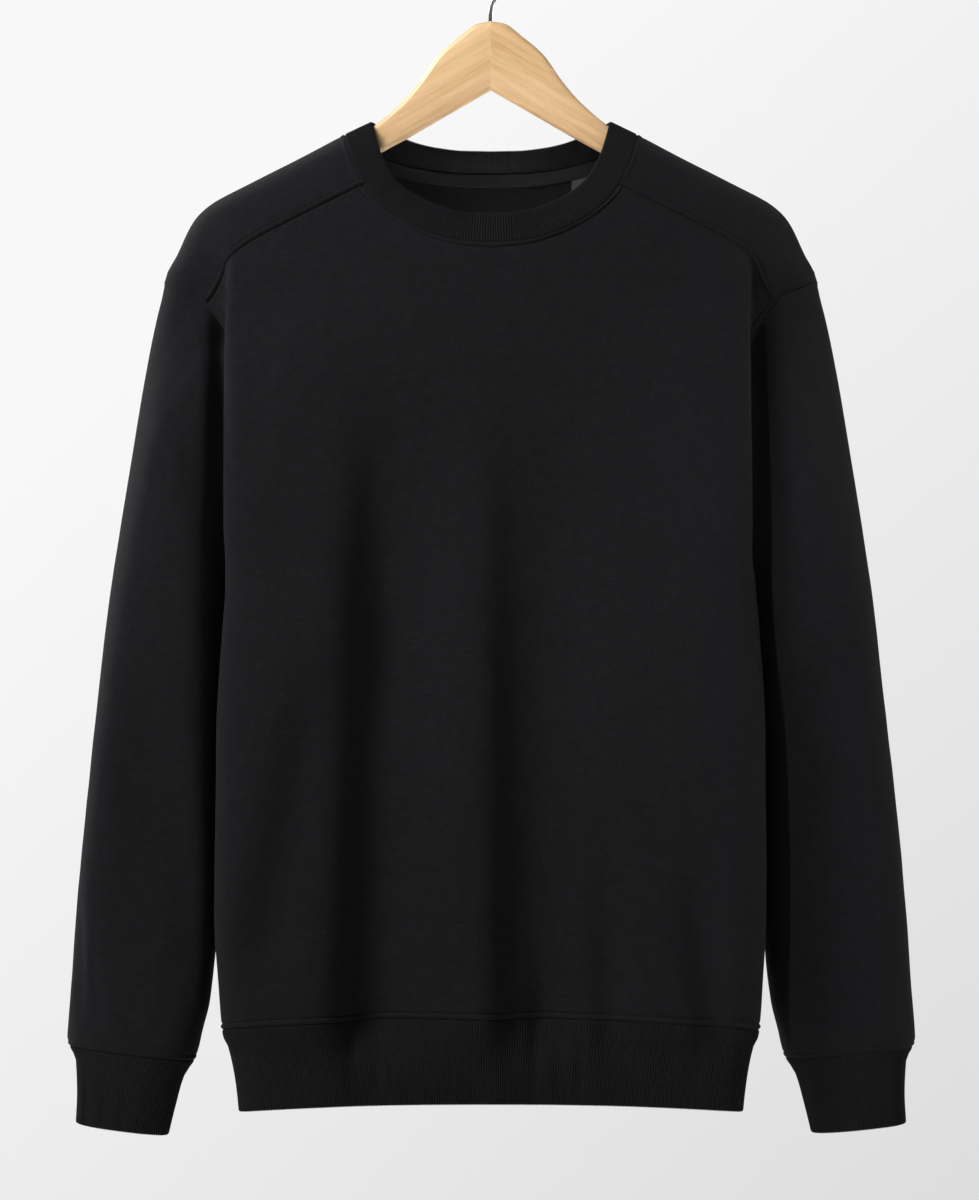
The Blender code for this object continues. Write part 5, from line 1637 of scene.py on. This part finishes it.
def rib_material():
    """Rib knit: the ribs are modelled, the stitches in them are bump."""
    nodes = cloth_base("black_rib", 0.025, 0.50)
    _, up, _ = nodes.cut_parts()
    course = nodes.math("SINE", nodes.math("MULTIPLY", up, 2 * math.pi / RIB_COURSE))
    space = nodes.space()
    speckle = nodes.grain(space, (850.0, 850.0, 700.0), 2.0)
    nodes.colour(nodes.ramp(speckle, (
        (0.30, (0.0042, 0.0042, 0.0049)),
        (0.70, (0.0106, 0.0104, 0.0118)),
    )))
    nodes.normal(nodes.bump(course, 0.30, 0.00012, nodes.bump(speckle, 0.25, 0.0005)))
    return nodes.material


def thread_material():
    nodes = cloth_base("black_thread", 0.02, 0.5)
    nodes.set(Roughness=0.70, Specular_IOR_Level=0.12)
    space = nodes.space()
    twist = nodes.grain(space, (2600.0, 2600.0, 2600.0), 1.0)
    nodes.colour(nodes.ramp(twist, ((0.30, (0.0050, 0.0050, 0.0058)), (0.70, (0.0110, 0.0108, 0.0120)))))
    nodes.normal(nodes.bump(twist, 0.5, 0.0002))
    return nodes.material


def tape_material():
    """Woven neck tape: a twill of small diagonal ridges."""
    nodes = cloth_base("neck_tape_twill", 0.03, 0.5)
    nodes.set(Roughness=0.7)
    across, up, _ = nodes.cut_parts()
    diagonal = nodes.math("ADD", across, nodes.math("PINGPONG", up, TWILL_TURN))
    ridge = nodes.math("SINE", nodes.math("MULTIPLY", diagonal, 2 * math.pi / TWILL_PITCH))
    nodes.colour(nodes.ramp(ridge, ((0.0, (0.0100, 0.0100, 0.0112)), (1.0, (0.0185, 0.0183, 0.0200)))))
    nodes.normal(nodes.bump(ridge, 0.6, 0.0002))
    return nodes.material


def label_material():
    """Smooth woven label, bare."""
    nodes = Nodes("label_satin")
    nodes.set(Roughness=0.5, Sheen_Weight=0.1)
    space = nodes.space()
    weave = nodes.grain(space, (1600.0, 1600.0, 5200.0), 1.0)
    nodes.colour(nodes.ramp(weave, ((0.30, (0.034, 0.034, 0.037)), (0.70, (0.052, 0.052, 0.056)))))
    nodes.normal(nodes.bump(weave, 0.4, 0.0001))
    return nodes.material


def wood_material(way):
    """Light maple, its grain along the arm, under a satin lacquer."""
    nodes = Nodes("maple_left" if way == LEFT else "maple_right")
    nodes.set(Roughness=0.42, Coat_Weight=0.25, Coat_Roughness=0.25)
    space = nodes.space()
    turned = nodes.stretched(space, (1.0, 1.0, 1.0), (0.0, way * -HANGER_GRAIN_ANGLE, 0.0))
    band = nodes.grain(turned, (9.0, 60.0, 150.0), 4.0, 0.55)
    fibre = nodes.grain(turned, (60.0, 900.0, 1500.0), 3.0, 0.65)
    pore = nodes.grain(turned, (160.0, 2200.0, 3200.0), 1.0)
    tone = nodes.math("ADD", nodes.math("MULTIPLY", band, 0.62), nodes.math("MULTIPLY", fibre, 0.38))
    nodes.colour(nodes.ramp(tone, (
        (0.30, (0.520, 0.300, 0.135)),
        (0.46, (0.700, 0.440, 0.215)),
        (0.60, (0.790, 0.530, 0.280)),
        (0.74, (0.850, 0.610, 0.350)),
    )))
    nodes.normal(nodes.bump(pore, 0.12, 0.0002, nodes.bump(fibre, 0.12, 0.0003)))
    return nodes.material


def steel_material():
    """Polished wire with faint drawing marks."""
    nodes = Nodes("polished_wire")
    nodes.set(Metallic=1.0)
    space = nodes.space()
    marks = nodes.grain(space, (900.0, 900.0, 120.0), 3.0)
    nodes.colour(nodes.ramp(marks, ((0.30, (0.56, 0.56, 0.57)), (0.70, (0.68, 0.68, 0.69)))))
    nodes.roughness(nodes.ramp(marks, ((0.30, (0.16, 0.16, 0.16)), (0.70, (0.26, 0.26, 0.26)))))
    nodes.normal(nodes.bump(marks, 0.05, 0.0001))
    return nodes.material


# ---------------------------------------------------------------- objects


def place_mesh(name, places, faces, materials, flat=None, slots=None, sharp=SHARP_CLOTH,
               lift=HOOK_TO_SHOULDER):
    """An object from points and faces, with its places on the flat cut as a UV map."""
    mesh = bpy.data.meshes.new(name)
    places = np.asarray(places) - np.array((0.0, 0.0, lift))
    mesh.from_pydata(places.tolist(), [], np.asarray(faces).tolist() if flat is not None else faces)
    for material in materials:
        mesh.materials.append(material)
    if slots is not None:
        mesh.polygons.foreach_set("material_index", slots)
    if flat is not None:
        layer = mesh.uv_layers.new(name="cut")
        layer.data.foreach_set("uv", np.ascontiguousarray(flat, dtype=np.float32).ravel())
    mesh.update()
    mesh.shade_smooth()
    mesh.set_sharp_from_angle(angle=math.radians(sharp))
    placed = bpy.data.objects.new(name, mesh)
    bpy.context.collection.objects.link(placed)
    return placed


def place_cloth(piece, shared, materials, slot_name):
    places, cells, flat, inside = piece.build_wall(shared)
    placed = place_mesh(piece.name + "_cloth", places, cells, materials, flat, inside)
    return stand_for(placed, slot_name, piece.name)


def place_band(band, shared, material):
    around = band.build(shared)
    rows, cols = around.shape[:2]
    index = np.arange(rows * cols).reshape(rows, cols)
    index = np.vstack((index, index[:1]))
    index = np.hstack((index, index[:, :1]))
    cells = block_cells(index)
    if band.flip:
        cells = cells[:, ::-1]
    closed = np.concatenate((around, around[:1]))
    flat = flat_places(closed, True)
    flat_index = np.arange(flat.shape[0] * flat.shape[1]).reshape(flat.shape[:2])
    flat_cells = block_cells(flat_index)
    if band.flip:
        flat_cells = flat_cells[:, ::-1]
    placed = place_mesh(band.name + "_knit", around.reshape(-1, 3), cells, [material],
                        flat.reshape(-1, 2)[flat_cells], sharp=SHARP_BAND)
    return stand_for(placed, "rib", band.name)


def stand_for(placed, slot_name, *nodes):
    """The piece rides with the garment and stands for its solids, which are hidden."""
    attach(placed, "root")
    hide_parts(*nodes)
    return placed


def place_stitches(name, lines, material):
    places, cells = stitch_mesh(lines)
    placed = place_mesh(name, places, cells.tolist(), [material], sharp=SHARP_THREAD)
    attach(placed, "root")
    return placed


def rim_of(piece):
    corners = list(piece.after)
    return piece.name, corners, piece.points[corners], piece.facing[corners]


def seam_of(band):
    return band.name, range(band.rows.shape[1]), band.rows[0], band.facing[0]


def make_garment():
    jersey = jersey_material()
    fleece = fleece_material()
    rib = rib_material()
    thread = thread_material()
    panels = {
        "front": make_front(),
        "back": make_back(),
        "sleeve_left": make_sleeve("sleeve_left", LEFT),
        "sleeve_right": make_sleeve("sleeve_right", RIGHT),
    }
    bands = {
        "cuff_left": make_cuff("cuff_left", LEFT),
        "cuff_right": make_cuff("cuff_right", RIGHT),
        "hem_rib": make_hem_rib(),
        "neck_rib": make_neck_rib(),
    }
    edges = [rim_of(piece) for piece in panels.values()] + [seam_of(band) for band in bands.values()]
    shared = shared_seams(edges)
    placed = {name: place_cloth(piece, shared, [jersey, fleece], "cloth") for name, piece in panels.items()}
    placed.update({name: place_band(band, shared, rib) for name, band in bands.items()})
    front_lines = panel_lines(panels["front"], 0)
    back_lines = panel_lines(panels["back"], 0)
    wraps = [wrap_lines(panels["back"], block) for block in (1, 2)]
    front_sewing = front_lines["armhole"] + front_lines["hem"] + front_lines["neck"]
    back_sewing = back_lines["armhole"] + back_lines["hem"] + back_lines["neck"]
    for lines in wraps:
        back_sewing += lines["armhole"] + lines["forward"] + lines["neck"]
    sewing = {
        "front": place_stitches("front_stitching", front_sewing, thread),
        "back": place_stitches("back_stitching", back_sewing, thread),
    }
    for name in ("sleeve_left", "sleeve_right"):
        grid, facing = panels[name].outer_grid(0)
        line, line_facing = beside_border(grid[::-1], facing[::-1], STITCH_DISTANCE)
        closed = (np.vstack((line, line[:1])), np.vstack((line_facing, line_facing[:1])))
        sewing[name] = place_stitches(name + "_stitching", [closed], thread)
    return placed, sewing


def make_neck_trim():
    x = np.linspace(-TAPE_REACH, TAPE_REACH, TAPE_COLUMNS)
    places, cells, flat = make_strip(TAPE_THICKNESS, x, TAPE_TOP, TAPE_WIDTH, TAPE_PARTS)
    tape = place_mesh("neck_tape_woven", places, cells, [tape_material()], flat)
    stand_for(tape, "tape", "neck_tape")
    x = np.linspace(LABEL_CENTRE - LABEL_WIDTH / 2, LABEL_CENTRE + LABEL_WIDTH / 2, LABEL_COLUMNS)
    down = np.linspace(0, 1, LABEL_ROWS)
    places, cells, flat = make_strip(LABEL_THICKNESS, x, LABEL_TOP, LABEL_LENGTH, down)
    label = place_mesh("size_label_bare", places, cells, [label_material()], flat)
    stand_for(label, "label", "size_label")
    return tape, label


def make_hanger():
    for name, way in (("hanger_left", LEFT), ("hanger_right", RIGHT)):
        places, faces = hanger_half(way)
        wood = place_mesh(name + "_wood", places, faces, [wood_material(way)], sharp=SHARP_WOOD)
        stand_for(wood, "wood", name)
    places, faces = hook_mesh()
    wire = place_mesh("hook_wire", places, faces, [steel_material()], sharp=SHARP_WIRE, lift=0.0)
    stand_for(wire, "steel", "hook")


# ---------------------------------------------------------------- floor, light and camera


def make_floor():
    mesh = bpy.data.meshes.new("floor")
    turns = np.linspace(0, 2 * math.pi, FLOOR_SIDES + 1)[:-1]
    rim = [(FLOOR_RADIUS * math.cos(turn), FLOOR_RADIUS * math.sin(turn), FLOOR_HEIGHT) for turn in turns]
    mesh.from_pydata(rim, [], [tuple(range(FLOOR_SIDES))])
    floor = bpy.data.objects.new("floor", mesh)
    bpy.context.collection.objects.link(floor)
    nodes = Nodes("pale_floor")
    nodes.set(Base_Color=(0.78, 0.78, 0.78, 1.0), Roughness=0.8)
    mesh.materials.append(nodes.material)


def make_world():
    """Pale surroundings, a little darker low down on the right; the cloth is lit by less than is seen."""
    world = bpy.data.worlds.new("pale_room")
    bpy.context.scene.world = world
    world.use_nodes = True
    tree = world.node_tree
    background = tree.nodes["Background"]
    place = tree.nodes.new("ShaderNodeTexCoord")
    parts = tree.nodes.new("ShaderNodeSeparateXYZ")
    tree.links.new(place.outputs["Generated"], parts.inputs[0])
    fall = tree.nodes.new("ShaderNodeMath")
    fall.operation = "MULTIPLY_ADD"
    fall.inputs[1].default_value = WORLD_FALL_DOWN
    fall.inputs[2].default_value = WORLD_MIDDLE
    tree.links.new(parts.outputs[2], fall.inputs[0])
    side = tree.nodes.new("ShaderNodeMath")
    side.operation = "MULTIPLY_ADD"
    side.inputs[1].default_value = -WORLD_FALL_RIGHT
    tree.links.new(parts.outputs[0], side.inputs[0])
    tree.links.new(fall.outputs[0], side.inputs[2])
    limits = tree.nodes.new("ShaderNodeClamp")
    limits.inputs["Min"].default_value = WORLD_DARKEST
    limits.inputs["Max"].default_value = WORLD_BRIGHTEST
    tree.links.new(side.outputs[0], limits.inputs["Value"])
    colour = tree.nodes.new("ShaderNodeCombineColor")
    for socket in colour.inputs[:3]:
        tree.links.new(limits.outputs[0], socket)
    tree.links.new(colour.outputs[0], background.inputs["Color"])
    seen = tree.nodes.new("ShaderNodeLightPath")
    strength = tree.nodes.new("ShaderNodeMapRange")
    strength.inputs["To Min"].default_value = WORLD_LIGHT
    strength.inputs["To Max"].default_value = 1.0
    tree.links.new(seen.outputs["Is Camera Ray"], strength.inputs["Value"])
    tree.links.new(strength.outputs["Result"], background.inputs["Strength"])


def look_at(placed, aim):
    way = Vector(aim) - placed.location
    placed.rotation_euler = way.to_track_quat("-Z", "Y").to_euler()


def make_lamps():
    for name, (place, aim, width, height, power, spread) in LAMPS.items():
        lamp = bpy.data.lights.new(name, "AREA")
        lamp.shape = "ELLIPSE"
        lamp.size = width
        lamp.size_y = height
        lamp.energy = power
        lamp.spread = math.radians(spread)
        placed = bpy.data.objects.new(name, lamp)
        placed.location = place
        placed.visible_camera = False
        bpy.context.collection.objects.link(placed)
        look_at(placed, aim)


def make_camera():
    camera = bpy.data.cameras.new("camera")
    camera.sensor_fit = "VERTICAL"
    camera.sensor_height = CAMERA_SENSOR
    camera.lens = CAMERA_LENS
    camera.clip_end = 50
    placed = bpy.data.objects.new("camera", camera)
    placed.location = CAMERA_PLACE
    placed.rotation_euler = (math.pi / 2, 0, 0)
    bpy.context.collection.objects.link(placed)
    bpy.context.scene.camera = placed


def main():
    bpy.context.scene.view_settings.view_transform = "Standard"
    make_camera()
    placed, sewing = make_garment()
    tape, label = make_neck_trim()
    make_hanger()
    make_floor()
    make_world()
    make_lamps()


main()
